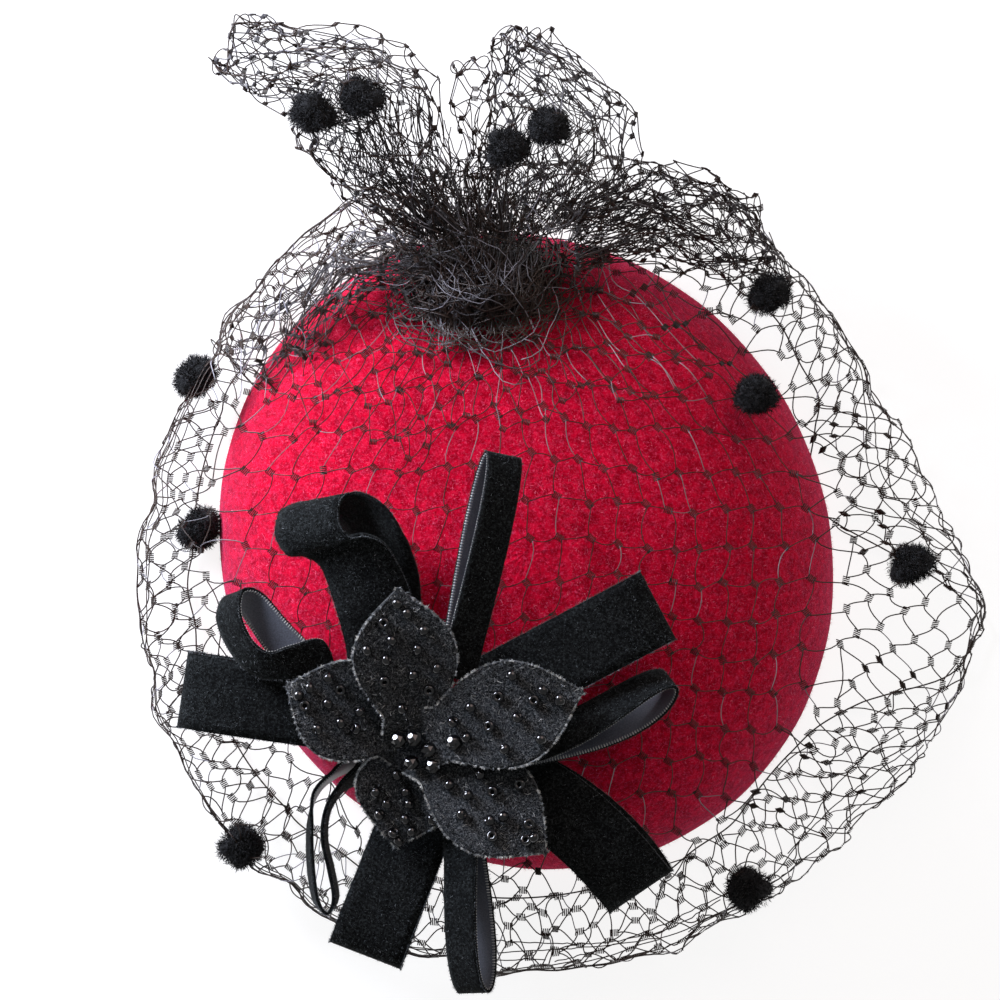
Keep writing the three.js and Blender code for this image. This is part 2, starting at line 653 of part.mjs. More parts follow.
// A puff of chenille: a ball whose twelve corners are drawn out into locks.
function dotGeometry(radius, spin) {
  const puff = new THREE.IcosahedronGeometry(radius, 2);
  const place = puff.attributes.position;
  const corners = new THREE.IcosahedronGeometry(1, 0).attributes.position;
  const point = new THREE.Vector3();
  const corner = new THREE.Vector3();
  for (let k = 0; k < place.count; k++) {
    point.fromBufferAttribute(place, k).normalize();
    let nearest = 0;
    for (let n = 0; n < corners.count; n++) {
      corner.fromBufferAttribute(corners, n).normalize();
      nearest = Math.max(nearest, point.dot(corner));
    }
    const lock = smoothstep(nearest, 0.85, 1);
    point.multiplyScalar(radius * lerp(1, dot.locks, lock));
    place.setXYZ(k, point.x, point.y, point.z);
  }
  return puff.rotateX(spin).rotateY(2 * spin);
}
const dotSpaces = [];
dots.forEach(({ name, x, y, z }, k) => {
  addMesh(name, dotGeometry(dot.radius, k), finishes.chenille).position.set(x, y, z);
  const space = new THREE.IcosahedronGeometry(dot.radius * dot.locks + 2 * GAP, 1);
  dotSpaces.push(toManifold(space.translate(x, y, z)));
});

// The veil is wrapped through the dots, so it is open round each of them.
function veilSolid() {
  const sheet = sheetSolid({
    cells: netCells(net.columns, net.rows, true),
    surface: veilSurface,
    thickness: net.thickness,
    strand: net.strand,
    period: 1,
  });
  let solid = toManifold(sheet);
  for (const space of dotSpaces) solid = solid.subtract(space);
  return fromManifold(solid);
}
addMesh("veil", veilSolid(), finishes.net);

for (const ear of fascinator.children.filter(({ name }) => name.startsWith("ear_"))) {
  let solid = toManifold(ear.geometry);
  for (const space of dotSpaces) solid = solid.subtract(space);
  ear.geometry = fromManifold(solid);
}

// The origin is under the middle of the whole piece, on the surface that it rests on.
const extent = new THREE.Box3().setFromObject(fascinator, true);
const middle = extent.getCenter(new THREE.Vector3());
fascinator.position.set(-middle.x, -middle.y, -extent.min.z);

export default fascinator;
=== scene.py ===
import math
import bpy
import numpy as np
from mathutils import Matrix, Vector


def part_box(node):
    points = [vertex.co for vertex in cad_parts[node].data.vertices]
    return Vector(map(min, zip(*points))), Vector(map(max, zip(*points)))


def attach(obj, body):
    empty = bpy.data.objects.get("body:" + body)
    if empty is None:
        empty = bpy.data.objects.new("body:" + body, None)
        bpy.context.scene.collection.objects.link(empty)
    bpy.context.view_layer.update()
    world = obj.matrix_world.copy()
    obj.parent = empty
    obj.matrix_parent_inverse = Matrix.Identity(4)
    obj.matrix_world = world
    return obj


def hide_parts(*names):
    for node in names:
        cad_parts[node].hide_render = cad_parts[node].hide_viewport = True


# A cocktail fascinator seen from above: red wool felt crown, coarse black net, velvet bow loops,
# a beaded felt flower and chenille dots. Places are in millimetres from the crown's middle, with
# +Y towards the gathered net, until onFrame() turns them to metres in the model's own frame.

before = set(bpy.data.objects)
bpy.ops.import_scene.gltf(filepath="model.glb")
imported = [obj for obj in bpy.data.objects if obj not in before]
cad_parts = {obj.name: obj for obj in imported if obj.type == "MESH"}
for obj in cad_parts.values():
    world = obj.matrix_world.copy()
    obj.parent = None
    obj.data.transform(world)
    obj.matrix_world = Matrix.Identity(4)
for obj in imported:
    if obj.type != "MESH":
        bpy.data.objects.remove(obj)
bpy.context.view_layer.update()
rng = np.random.default_rng(11)
crownLow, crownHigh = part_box("crown")
crownMiddle = (crownLow + crownHigh) / 2
up = np.array([0, 0, 1.0])


def onFrame(points):
    shift = np.array([crownMiddle.x, crownMiddle.y, crownLow.z])
    return np.asarray(points, float) / 1000 + shift


def heading(degrees):
    return np.array([math.cos(math.radians(degrees)), math.sin(math.radians(degrees)), 0.0])


def unit(vectors):
    length = np.linalg.norm(vectors, axis=-1, keepdims=True)
    return vectors / np.maximum(length, 1e-9)


def dot(first, second):
    return (first * second).sum(-1, keepdims=True)


def smooth(value, low, high):
    share = np.clip((value - low) / (high - low), 0, 1)
    return share * share * (3 - 2 * share)


def mix(a, b, share):
    return a + (b - a) * share


def between(grid, i0, i1, j0, a, b):  # a point inside a cell of a grid
    return mix(mix(grid[i0, j0], grid[i1, j0], a), mix(grid[i0, j0 + 1], grid[i1, j0 + 1], a), b)


def shares(along, across, low=0):  # two tables of shares from low to 1, one along and one across a grid
    return np.meshgrid(np.linspace(low, 1, along), np.linspace(low, 1, across), indexing="ij")


def ways(angle):
    return np.stack([np.cos(angle), np.sin(angle)], -1)


def travelled(line):  # how far along a line each of its points lies
    return np.concatenate([[0], np.cumsum(np.linalg.norm(np.diff(line, axis=0), axis=1))])


def linear(hexColour):
    parts = [int(hexColour[k : k + 2], 16) / 255 for k in (1, 3, 5)]
    return [p / 12.92 if p <= 0.04045 else ((p + 0.055) / 1.055) ** 2.4 for p in parts] + [1.0]


# What the camera sees, and the lights round it.
view = {
    "middle": (-7.05, 13.83),  # what the picture is centred on
    "width": 266,  # how much of the object plane the picture takes in
    "away": 3000,
    "plane": 30,
}
lights = {
    "key": {"at": (-400, 290, 200), "size": 260, "watts": 6.8, "colour": "#e8eeff"},
    "fill": {"at": (260, 640, 740), "size": 900, "watts": 3.1, "colour": "#ffe4dc"},
    "sky": 0.25,
    "tableGlow": 0.86,  # the table is lit from below, so shadows on it stay pale
}


def addCamera():
    data = bpy.data.cameras.new("camera")
    data.sensor_width = 36
    data.lens = 36 * (view["away"] - view["plane"]) / view["width"]
    data.clip_end = 20
    camera = bpy.data.objects.new("camera", data)
    camera.location = onFrame([*view["middle"], view["away"]])
    bpy.context.collection.objects.link(camera)
    bpy.context.scene.camera = camera


def addAreaLight(name, spec):
    data = bpy.data.lights.new(name, "AREA")
    data.shape = "DISK"
    data.size = spec["size"] / 1000
    data.energy = spec["watts"]
    data.color = linear(spec["colour"])[:3]
    light = bpy.data.objects.new(name, data)
    light.location = onFrame(spec["at"])
    aim = Vector(onFrame([0, 0, 20])) - light.location
    light.rotation_euler = aim.to_track_quat("-Z", "Y").to_euler()
    bpy.context.collection.objects.link(light)


def addSky(strength):
    world = bpy.data.worlds.new("studio")
    bpy.context.scene.world = world
    world.use_nodes = True
    world.node_tree.nodes["Background"].inputs["Color"].default_value = (1, 1, 1, 1)
    world.node_tree.nodes["Background"].inputs["Strength"].default_value = strength


addCamera()
addAreaLight("keyLight", lights["key"])
addAreaLight("fillLight", lights["fill"])
addSky(lights["sky"])
bpy.context.scene.view_settings.view_transform = "Standard"


# Adds a node with its settings and links; "stops" are the colours of a ramp, each after its place.
def addNode(tree, kind, settings=None, **links):
    node = tree.nodes.new("ShaderNode" + kind)
    for name, value in (settings or {}).items():
        if name == "stops":
            for stop, (place, colour) in zip(node.color_ramp.elements, value):
                stop.color = linear(colour)
                stop.position = place
        elif isinstance(name, int) or name in node.inputs:
            node.inputs[name].default_value = value
        else:
            setattr(node, name, value)
    for name, source in links.items():
        tree.links.new(source, node.inputs[int(name[1:]) if name[1:].isdigit() else name])
    return node.outputs


def startMaterial(name, roughness, settings):
    material = bpy.data.materials.new(name)
    material.use_nodes = True
    tree = material.node_tree
    shader = tree.nodes["Principled BSDF"]
    for socket, value in {"Roughness": roughness, **settings}.items():
        shader.inputs[socket].default_value = value
    return material, tree, shader, addNode(tree, "TexCoord")["Object"]


# Settings of a noise whose pattern has the given size in millimetres, on coordinates in metres.
def grain(size, detail=3, distortion=0.0, roughness=0.6):
    return {"Scale": 1000 / size, "Detail": detail, "Distortion": distortion, "Roughness": roughness}


# A finish whose tone drifts between two colours over a pattern. Relief, where there is some, is a
# pattern of its own, with how strong its bumps are and how deep in metres.
def makeMottled(name, roughness, settings, pattern, stops, relief=None):
    material, tree, shader, place = startMaterial(name, roughness, settings)
    drift = addNode(tree, "TexNoise", grain(*pattern), Vector=place)[0]
    tree.links.new(addNode(tree, "ValToRGB", {"stops": stops}, Fac=drift)[0], shader.inputs["Base Color"])
    if relief:
        height = addNode(tree, "TexNoise", grain(*relief[0]), Vector=place)[0]
        bump = addNode(tree, "Bump", {"Strength": relief[1], "Distance": relief[2]}, Height=height)
        tree.links.new(bump[0], shader.inputs["Normal"])
    return material


# Wool felt: carded fibres matted by steam and rubbing. It gives no highlight, a soft bright edge
# and cloudy clumps of fibre, with short lighter hairs lying over them. Real hairs are 0.02 mm thick,
# too fine to show, so theirs is a coarser pattern of about half a millimetre.
def makeFelt(name, colours, sheen, sheenRoughness, hair, clump):
    material, tree, shader, place = startMaterial(name, 0.95, {
        "Specular IOR Level": 0.03,
        "Sheen Weight": sheen,
        "Sheen Roughness": sheenRoughness,
        "Sheen Tint": linear(colours["sheen"]),
    })
    fibres = addNode(tree, "TexNoise", grain(hair, 5, 0.9, 0.75), Vector=place)[0]
    clumps = addNode(tree, "TexNoise", grain(clump, 5, 0.35, 0.7), Vector=place)[0]
    stops = (0.4, colours["low"]), (0.6, colours["base"])
    tone = addNode(tree, "ValToRGB", {"stops": stops}, Fac=clumps)[0]
    hairs = addNode(tree, "MapRange", {1: 0.5, 2: 0.74, 4: 0.8}, _0=fibres)[0]
    colour = addNode(tree, "Mix", {"data_type": "RGBA", 7: linear(colours["hair"])}, _0=hairs, _6=tone)[2]
    rolls = addNode(tree, "Bump", {"Strength": 0.5, "Distance": 0.0008}, Height=clumps)[0]
    bump = addNode(tree, "Bump", {"Strength": 0.8, "Distance": 0.0005}, Height=fibres, Normal=rolls)[0]
    tree.links.new(colour, shader.inputs["Base Color"])
    tree.links.new(bump, shader.inputs["Normal"])
    return material


# Cotton velvet ribbon: a dense cut pile of black fibres about 1 mm deep. It swallows light face on
# and shows a grey bloom where it turns away. Its pile is drawn as coarse as 0.65 mm so that it shows.
def makeVelvet(name):
    material, tree, shader, place = startMaterial(name, 0.9, {
        "Specular IOR Level": 0.06,
        "Sheen Weight": 0.13,
        "Sheen Roughness": 0.4,
        "Sheen Tint": linear("#8f9492"),
    })
    pile = addNode(tree, "TexNoise", grain(0.65, 5, 0.6, 0.75), Vector=place)[0]
    rows = addNode(tree, "TexNoise", grain(4, 2), Vector=place)[0]
    colour = addNode(tree, "ValToRGB", {"stops": ((0.46, "#070808"), (0.74, "#363a3b"))}, Fac=pile)[0]
    worn = addNode(tree, "ValToRGB", {"stops": ((0.4, "#ffffff"), (0.75, "#b8bcc0"))}, Fac=rows)[0]
    darkened = {"data_type": "RGBA", "blend_type": "MULTIPLY", 0: 1.0}
    shade = addNode(tree, "Mix", darkened, _6=colour, _7=worn)[2]
    bump = addNode(tree, "Bump", {"Strength": 0.6, "Distance": 0.0003}, Height=pile)[0]
    tree.links.new(shade, shader.inputs["Base Color"])
    tree.links.new(bump, shader.inputs["Normal"])
    return material


# Stiff nylon net: round filaments, drawn and dyed, with a dull sheen and a brownish cast. The ridges
# on a filament are too fine to show, and are drawn 0.4 mm apart.
def makeNet(name, first, second):
    return makeMottled(name, 0.4, {"Specular IOR Level": 0.35}, (30, 2), ((0.35, first), (0.65, second)),
                       ((0.4, 2), 0.2, 0.0001))


# Black glass, pressed and fire polished: nearly mirror smooth, with hard white glints on its facets.
def makeGlass(name, roughness):
    return makeMottled(name, roughness, {"IOR": 1.52, "Coat Weight": 0.6}, (1.5, 2),
                       ((0.3, "#030304"), (0.8, "#0c0c10")))


# Loose fibres that lie on felt, ribbon and petals: matt, each in a drifting tone.
def makeLint(name, first, second):
    return makeMottled(name, 0.8, {}, (3, 1), ((0.4, first), (0.6, second)))


feltColours = {
    "red": {"base": "#d80630", "low": "#a4001c", "hair": "#fb5486", "sheen": "#ff86bc"},
    "charcoal": {"base": "#25282b", "low": "#0c0d0e", "hair": "#a2a5a8", "sheen": "#9aa2a6"},
    "cut": {"base": "#26282a", "low": "#121314", "hair": "#8c8f90", "sheen": "#d0d4d6"},
}
redFelt = makeFelt("redWoolFelt", feltColours["red"], sheen=0.55, sheenRoughness=0.33, hair=0.6, clump=2.3)
redHair = makeLint("redWoolFibre", "#dc2c58", "#ff8cb0")
charcoalFelt = makeFelt("charcoalWoolFelt", feltColours["charcoal"], sheen=0.16, sheenRoughness=0.4,
                        hair=0.45, clump=1.5)
cutFelt = makeFelt("cutFeltEdge", feltColours["cut"], sheen=0.25, sheenRoughness=0.4, hair=0.45, clump=0.9)
velvetPile = makeVelvet("blackVelvetPile")
# Satin back of the narrow ribbon: woven polyester warp threads, with a soft grey gleam. Its threads
# are too fine to show, and are drawn 0.35 mm apart.
satinBack = makeMottled("greySatinBack", 0.38,
                        {"Specular IOR Level": 0.5, "Sheen Weight": 0.2, "Sheen Tint": linear("#c9ccd2")},
                        (0.35, 3, 0.2), ((0.3, "#3b3e46"), (0.75, "#5f636e")),
                        ((0.35, 3, 0.2), 0.35, 0.00015))
blackNet = makeNet("blackNylonNet", "#241813", "#33261f")
# The grey and pale nets are the same black nylon drawn lighter. Threads drawn in them are painted sheen and
# painted highlight, standing in for filaments that catch the light.
netPaintedSheen = makeNet("nylonNetPaintedSheen", "#323033", "#5a5759")
netPaintedHighlight = makeNet("nylonNetPaintedHighlight", "#66646a", "#94919a")
# Chenille: tufts of black viscose cut short round a core. Matt and deep, lighter at the tips.
chenillePile = makeMottled("blackChenille", 0.95,
                           {"Specular IOR Level": 0.08, "Sheen Weight": 0.12, "Sheen Roughness": 0.4},
                           (1.2, 4, 0.6), ((0.35, "#0e0e0f"), (0.8, "#38393b")))
facetGlass = makeGlass("facetedBlackGlass", 0.04)
seedGlass = makeGlass("blackSeedGlass", 0.14)
paleLint = makeLint("paleLint", "#9a9e9f", "#d8d8d4")
greyLint = makeLint("greyLint", "#4a4e52", "#83888c")
darkLint = makeLint("darkLint", "#303437", "#505559")
# Acetate, injection moulded and tumbled: even, with a low gloss.
combAcetate = makeMottled("blackAcetate", 0.35, {}, (8, 2, 0.5), ((0.3, "#141211"), (0.8, "#231e1b")))
# Opal acrylic of a lit studio table: even and matt, glowing from below.
opalTable = makeMottled("opalTable", 0.9, {
    "Specular IOR Level": 0.1,
    "Emission Color": linear("#ffffff"),
    "Emission Strength": lights["tableGlow"],
}, (2, 2), ((0.2, "#8c8c8c"), (0.8, "#909090")))


threadGap, fibreGap = 0.4, 0.1  # how high threads and fibres stay over the table, so none goes through


def newBatch():
    return {"points": [], "faces": [], "kinds": [], "count": 0}


def pourFaces(batch, faces, kind=0):
    batch["faces"].extend(np.asarray(faces, int).tolist())
    batch["kinds"].extend([kind] * len(faces))


def pour(batch, points, faces, kind=0):
    points = np.asarray(points, float).reshape(-1, 3)
    pourFaces(batch, np.asarray(faces, int) + batch["count"], kind)
    batch["points"].append(points)
    batch["count"] += len(points)


def addPiece(name, batch, materials, nodes=(), smoothShade=True):
    mesh = bpy.data.meshes.new(name)
    mesh.from_pydata(onFrame(np.concatenate(batch["points"])).tolist(), [], batch["faces"])
    for material in materials:
        mesh.materials.append(material)
    mesh.polygons.foreach_set("material_index", batch["kinds"])
    mesh.polygons.foreach_set("use_smooth", [smoothShade] * len(mesh.polygons))
    mesh.update()
    piece = bpy.data.objects.new(name, mesh)
    bpy.context.collection.objects.link(piece)
    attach(piece, "root")
    if nodes:
        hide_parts(*nodes)
    return piece


def gridFaces(rows, columns, closed=False):
    last = columns if closed else columns - 1
    i, j = np.meshgrid(np.arange(rows - 1), np.arange(last), indexing="ij")
    k = (j + 1) % columns
    here, beyond = i * columns, (i + 1) * columns
    return np.stack([here + j, here + k, beyond + k, beyond + j], -1).reshape(-1, 4)


# The wall that joins a rim to the same rim of a second skin, whose points come so many later.
def wallFaces(rim, later):
    turned = np.roll(rim, -1)
    return np.stack([turned, rim, rim + later, turned + later], -1)


# Round filaments: lines is (how many, points each, 3), with one radius or one for each point.
def pourTubes(batch, lines, radius, sides=3, kind=0):
    lines = np.array(lines, float)
    lines[..., 2] = np.maximum(lines[..., 2], threadGap)
    many, steps, _ = lines.shape
    along = unit(np.gradient(lines, axis=1))
    steep = np.abs(along.mean(axis=1)[:, 2:3]) > 0.7
    helper = np.where(steep, [[1.0, 0.0, 0.0]], [[0.0, 0.0, 1.0]])[:, None, :]
    first = unit(np.cross(along, helper))
    second = np.cross(along, first)
    angle = (np.arange(sides) * 2 * math.pi / sides)[:, None]
    size = np.broadcast_to(np.asarray(radius, float), (many, steps))[..., None, None]
    ring = first[:, :, None] * np.cos(angle) + second[:, :, None] * np.sin(angle)
    tube = gridFaces(steps, sides, True)[:, ::-1]
    starts = np.arange(many)[:, None, None] * steps * sides
    caps = np.arange(sides), (steps - 1) * sides + np.arange(sides)[::-1]
    capFaces = (np.stack(caps) + starts).reshape(-1, sides) + batch["count"]
    pour(batch, lines[:, :, None] + ring * size, (tube + starts).reshape(-1, 4), kind)
    pourFaces(batch, capFaces, kind)


# A cloth of even thickness on a grid of points; kinds are the materials of its two faces and rim.
def pourCloth(batch, grid, thickness, kinds=(0, 0, 0)):
    rows, columns, _ = grid.shape
    across = unit(np.cross(np.gradient(grid, axis=0), np.gradient(grid, axis=1)))
    above = grid + across * thickness / 2
    below = grid - across * thickness / 2
    faces = gridFaces(rows, columns)
    size = rows * columns
    index = np.arange(size).reshape(rows, columns)
    rim = np.concatenate([index[0, :-1], index[:-1, -1], index[-1, :0:-1], index[:0:-1, 0]])
    start = batch["count"]
    pour(batch, np.stack([above, below]), faces, kinds[0])
    pourFaces(batch, faces[:, ::-1] + size + start, kinds[1])
    pourFaces(batch, wallFaces(rim, size) + start, kinds[2])
    return above, below, across


# Short loose fibres standing on a surface: one curved blade each.
def pourFibres(batch, roots, normals, length, width, lean=1.0, kind=0):
    many = len(roots)
    drift = unit(rng.normal(size=(many, 3)))
    way = unit(normals + drift * lean)
    side = unit(np.cross(way, rng.normal(size=(many, 3))))
    size = (length * rng.uniform(0.5, 1.4, many))[:, None]
    middle = roots + way * size * 0.5
    tip = roots + unit(way + unit(rng.normal(size=(many, 3))) * 0.5) * size
    half = side * width / 2
    points = np.stack([roots - half, roots + half, middle + half, middle - half, tip], 1)
    points[..., 2] = np.maximum(points[..., 2], fibreGap)
    starts = np.arange(many)[:, None] * 5
    tips = starts + batch["count"] + [3, 2, 4]
    pour(batch, points, starts + [0, 1, 2, 3], kind)
    pourFaces(batch, tips, kind)


# Random places on a grid of points, with the normals there; along an edge they can fall in tufts.
def scatter(grid, normals, many, edge=None, tufts=0):
    rows, columns, _ = grid.shape
    i = rng.uniform(0, rows - 1.001, many)
    if tufts:
        i = rng.choice(rng.uniform(0, rows - 1, tufts), many) + rng.normal(0, 0.1, many)
        i = np.clip(i, 0, rows - 1.001)
    if edge is None:
        j = rng.uniform(0, columns - 1.001, many)
    else:
        j = np.full(many, edge * (columns - 1) * 0.9999)
    i0, j0 = i.astype(int), np.minimum(j.astype(int), columns - 2)
    a, b = (i - i0)[:, None], (j - j0)[:, None]
    return between(grid, i0, i0 + 1, j0, a, b), normals[i0, j0]


floor = {"reach": 2600}


def addFloor():
    r = floor["reach"]
    batch = newBatch()
    pour(batch, [[-r, -r, 0], [r, -r, 0], [r, r, 0], [-r, r, 0]], [[0, 1, 2, 3]])
    mesh = bpy.data.meshes.new("floor")
    mesh.from_pydata(onFrame(batch["points"][0]).tolist(), [], batch["faces"])
    mesh.materials.append(opalTable)
    plane = bpy.data.objects.new("floor", mesh)
    plane.location.z = -0.0002
    bpy.context.collection.objects.link(plane)


addFloor()
print("stage set")


# The crown: felt blocked over a form.
crown = {
    "halfLength": 87.5,
    "halfWidth": 80.5,
    "height": 48,
    "wall": 2.6,
    "turn": -57,  # direction of the long axis
    "fullness": 2.3,  # 2 is an ellipse, more is squarer
    "waves": 0.35,  # how uneven blocked felt is
    "rings": 60,
    "segments": 192,
    "hairs": 24000,
    "hairLength": 0.9,
    "hairWidth": 0.06,
}
longAxis, shortAxis = heading(crown["turn"]), heading(crown["turn"] + 90)


def crownHeight(x, y, clearance=0.0):
    point = np.stack([x, y, np.zeros_like(x)], -1)
    share = np.hypot(point @ longAxis / (crown["halfLength"] + clearance),
                     point @ shortAxis / (crown["halfWidth"] + clearance))
    lift = np.clip(1 - share ** crown["fullness"], 0, 1) ** (1 / crown["fullness"])
    return (crown["height"] + clearance) * lift


def crownReach(degrees):
    turned = np.radians(degrees - crown["turn"])
    return 1 / np.hypot(np.cos(turned) / crown["halfLength"], np.sin(turned) / crown["halfWidth"])


def domeGrid(rings, segments, inset, wave):
    lift = np.linspace(0, 1, rings) * math.pi / 2
    out = np.cos(lift) ** (2 / crown["fullness"])
    raised = np.sin(lift) ** (2 / crown["fullness"])
    around = np.linspace(0, 2 * math.pi, segments, endpoint=False)
    length, width, height = (crown[k] - inset for k in ("halfLength", "halfWidth", "height"))
    flat = out[:, None, None] * (np.cos(around)[None, :, None] * longAxis * length
                                 + np.sin(around)[None, :, None] * shortAxis * width)
    grid = flat + up * (raised * height)[:, None, None]
    uneven = (np.sin(around * 5 + 1)[None] * np.sin(lift * 6)[:, None]
              + 0.7 * np.sin(around * 9 + 2)[None] * np.sin(lift * 9 + 1)[:, None])
    return grid * (1 - wave * np.abs(uneven) / crown["height"] / 2)[..., None]


def addCrown():
    rings, segments = crown["rings"], crown["segments"]
    outside = domeGrid(rings, segments, 0, crown["waves"])
    inside = domeGrid(rings, segments, crown["wall"], 0)
    faces = gridFaces(rings, segments, True)
    batch = newBatch()
    pour(batch, outside, faces)
    pour(batch, inside, faces[:, ::-1])
    pourFaces(batch, wallFaces(np.arange(segments), rings * segments))
    normals = unit(np.cross(np.gradient(outside, axis=1), np.gradient(outside, axis=0)))
    normals *= np.sign(dot(normals, outside))
    roots, way = scatter(outside[: rings - 4], normals[: rings - 4], crown["hairs"])
    pourFibres(batch, roots, way, crown["hairLength"], crown["hairWidth"], 1.6, 1)
    addPiece("feltCrown", batch, [redFelt, redHair], ["crown"])


addCrown()
print("crown made")


# The net's threads, knots and hem.
net = {
    "thread": 0.22,  # radius of a filament
    "bar": 0.21,  # radius of a wrapped thread in a knot
    "columns": 66,  # knots in each row, a little over 10 mm apart at the belt
    "row": 5.3,  # half the height of a cell
    "knotBars": 5,
    "knotLength": 1.9,
    "knotWidth": 1.9,
    "wander": 0.7,  # how far knots stray
    "sag": 0.07,  # how far a filament bows, as a share of its length
    # Filaments that catch the light are drawn in the pale net: a painted highlight.
    "lit": 0.13,  # share of filaments that catch the light,
    "litUpright": 1.7,  # times this where they run front to back
    "litAcross": 0.4,  # and times this where they run across
    "curl": 0.65,  # how far a thread runs on the way its knot faces before it turns
    "crownCurl": 0.25,  # over the crown the threads are drawn straighter,
    "finer": 0.78,  # and thinner
    "onCrown": 0.95,  # where that begins, as a share of the crown's reach
    "running": 26,  # slack threads that follow the belt
    "runningLevel": 14.5,  # where they lie, in quarter rows up from the hem
    "joinReach": 15,  # how far apart knots of two nets may be and still be joined
    "beltHeight": 14,
    "hemHeight": 1.6,
}
# Over the crown the same net lies turned half a right angle, its knots in columns and rows.
crownNet = {
    "across": 7.6,
    "down": 9.5,
    "turn": 0,
    "rise": 0,
    "wander": 0.6,
    "pull": 0.5,  # how much closer the knots crowd at the gather
    "pullReach": 40,
    "fan": 0.55,  # how much its columns close in towards the gather
    "lines": (20, 11),  # columns and rows to each side of the middle
}
# A second layer, folded over the crown in front of the gather: its net, and how far it reaches.
foldedNet = {**crownNet, "fan": 0.2, "across": 7.0, "down": 8.2, "turn": 27, "rise": 1.5,
             "wander": 1.2, "pull": 0.4}
foldedReach = [(-170, 76), (-135, 66), (-110, 50), (-90, 44), (-70, 46), (-45, 54), (-20, 66),
               (0, 74), (90, 20)]
# Each row below is a direction from the crown's middle in degrees, then a reach.
# The net's widest reach:
beltRows = [(-165, 106.5), (-133, 111), (-104, 112.5), (-74, 113.5), (-46, 115), (-24, 120.5),
            (-9, 124), (8, 111), (28, 103.5), (50, 106.5), (66, 110.5), (95, 104.5), (120, 105),
            (150, 100.5), (175, 103.5)]
# Where the hem comes back to, under the belt:
hemRows = [(-170, 90), (-140, 94), (-110, 94), (-75, 92), (-55, 91), (-38, 89), (-30, 92), (-21.7, 103),
           (-15, 119), (-9.3, 123), (-2, 103), (4, 86), (30, 88), (70, 92), (110, 92), (150, 90)]
gather = {"x": -10.3, "y": 74.5}
flower = {"x": -29.6, "y": -50, "slope": 0.55, "padRadius": 15, "padThickness": 2}
dip = {"flowerInner": 26, "flowerOuter": 60, "gatherInner": 26, "gatherOuter": 52, "floor": 16}
netClearance = 4.4


def aroundTable(rows, degrees):
    angles = np.array([r[0] for r in rows], float)
    values = np.array([r[1] for r in rows], float)
    angles = np.concatenate([angles - 360, angles, angles + 360])
    values = np.tile(values, 3)
    slopes = np.gradient(values, angles)
    d = (np.asarray(degrees, float) + 180) % 360 - 180
    k = np.clip(np.searchsorted(angles, d) - 1, 0, len(angles) - 2)
    span = angles[k + 1] - angles[k]
    t = (d - angles[k]) / span
    return ((2 * t**3 - 3 * t**2 + 1) * values[k] + (t**3 - 2 * t**2 + t) * slopes[k] * span
            + (3 * t**2 - 2 * t**3) * values[k + 1] + (t**3 - t**2) * slopes[k + 1] * span)


def ripple(degrees, seed, amounts):
    a = np.radians(degrees)
    return sum(size * np.sin(turns * a + seed * turns) for turns, size in amounts)


def netHeight(x, y):
    degrees = np.degrees(np.arctan2(y, x))
    share = np.minimum(np.hypot(x, y) / aroundTable(beltRows, degrees), 1)
    bubble = mix(net["beltHeight"], crown["height"] + netClearance, np.sqrt(1 - share**2))
    pressed = np.minimum(bubble, np.maximum(crownHeight(x, y, netClearance - 1.6), dip["floor"]))
    flowerAway = np.hypot(x - flower["x"], y - flower["y"])
    gatherAway = np.hypot(x - gather["x"], y - gather["y"])
    press = np.maximum(1 - smooth(flowerAway, dip["flowerInner"], dip["flowerOuter"]),
                       1 - smooth(gatherAway, dip["gatherInner"], dip["gatherOuter"]))
    return mix(bubble, pressed, press)


# One line of the net from its hem, round under the belt and in to the crown.
def netPath(degrees):
    outward = heading(degrees)
    ragged = ripple(degrees, 1.7, [(17, 0.8), (29, 0.9), (41, 0.6)])
    belt = float(aroundTable(beltRows, degrees)) + ragged - 0.8
    hem = min(float(aroundTable(hemRows, degrees)), belt - 1)
    quarter = np.linspace(math.pi / 2, 0, 14)[:-1, None]
    under = outward * mix(belt, hem, 1 - np.cos(quarter))
    under[:, 2] = mix(net["beltHeight"], net["hemHeight"], np.sin(quarter[:, 0]))
    out = np.linspace(belt, crownReach(degrees) * 0.9, 40)[:, None]
    over = outward * out
    over[:, 2] = netHeight(over[:, 0], over[:, 1])
    return np.concatenate([under, over])


# The whole net as a table of points: one row a direction, one column a step of its length.
def netTable(directions, step):
    paths = [netPath(d) for d in directions]
    lengths = [travelled(p) for p in paths]
    most = int(max(l[-1] for l in lengths) / step) + 2
    table = np.zeros((len(directions), most, 3))
    for k, (path, length) in enumerate(zip(paths, lengths)):
        at = np.minimum(np.arange(most) * step, length[-1])
        for axis in range(3):
            table[k, :, axis] = np.interp(at, length, path[:, axis])
    return table, np.array([l[-1] for l in lengths])


def lookUp(table, i, j):
    rows, columns, _ = table.shape
    i = i % rows
    j = np.clip(j, 0, columns - 1)
    i0, j0 = np.floor(i).astype(int) % rows, np.minimum(np.floor(j).astype(int), columns - 2)
    i1 = (i0 + 1) % rows
    a, b = (i - np.floor(i))[..., None], (j - j0)[..., None]
    return between(table, i0, i1, j0, a, b)


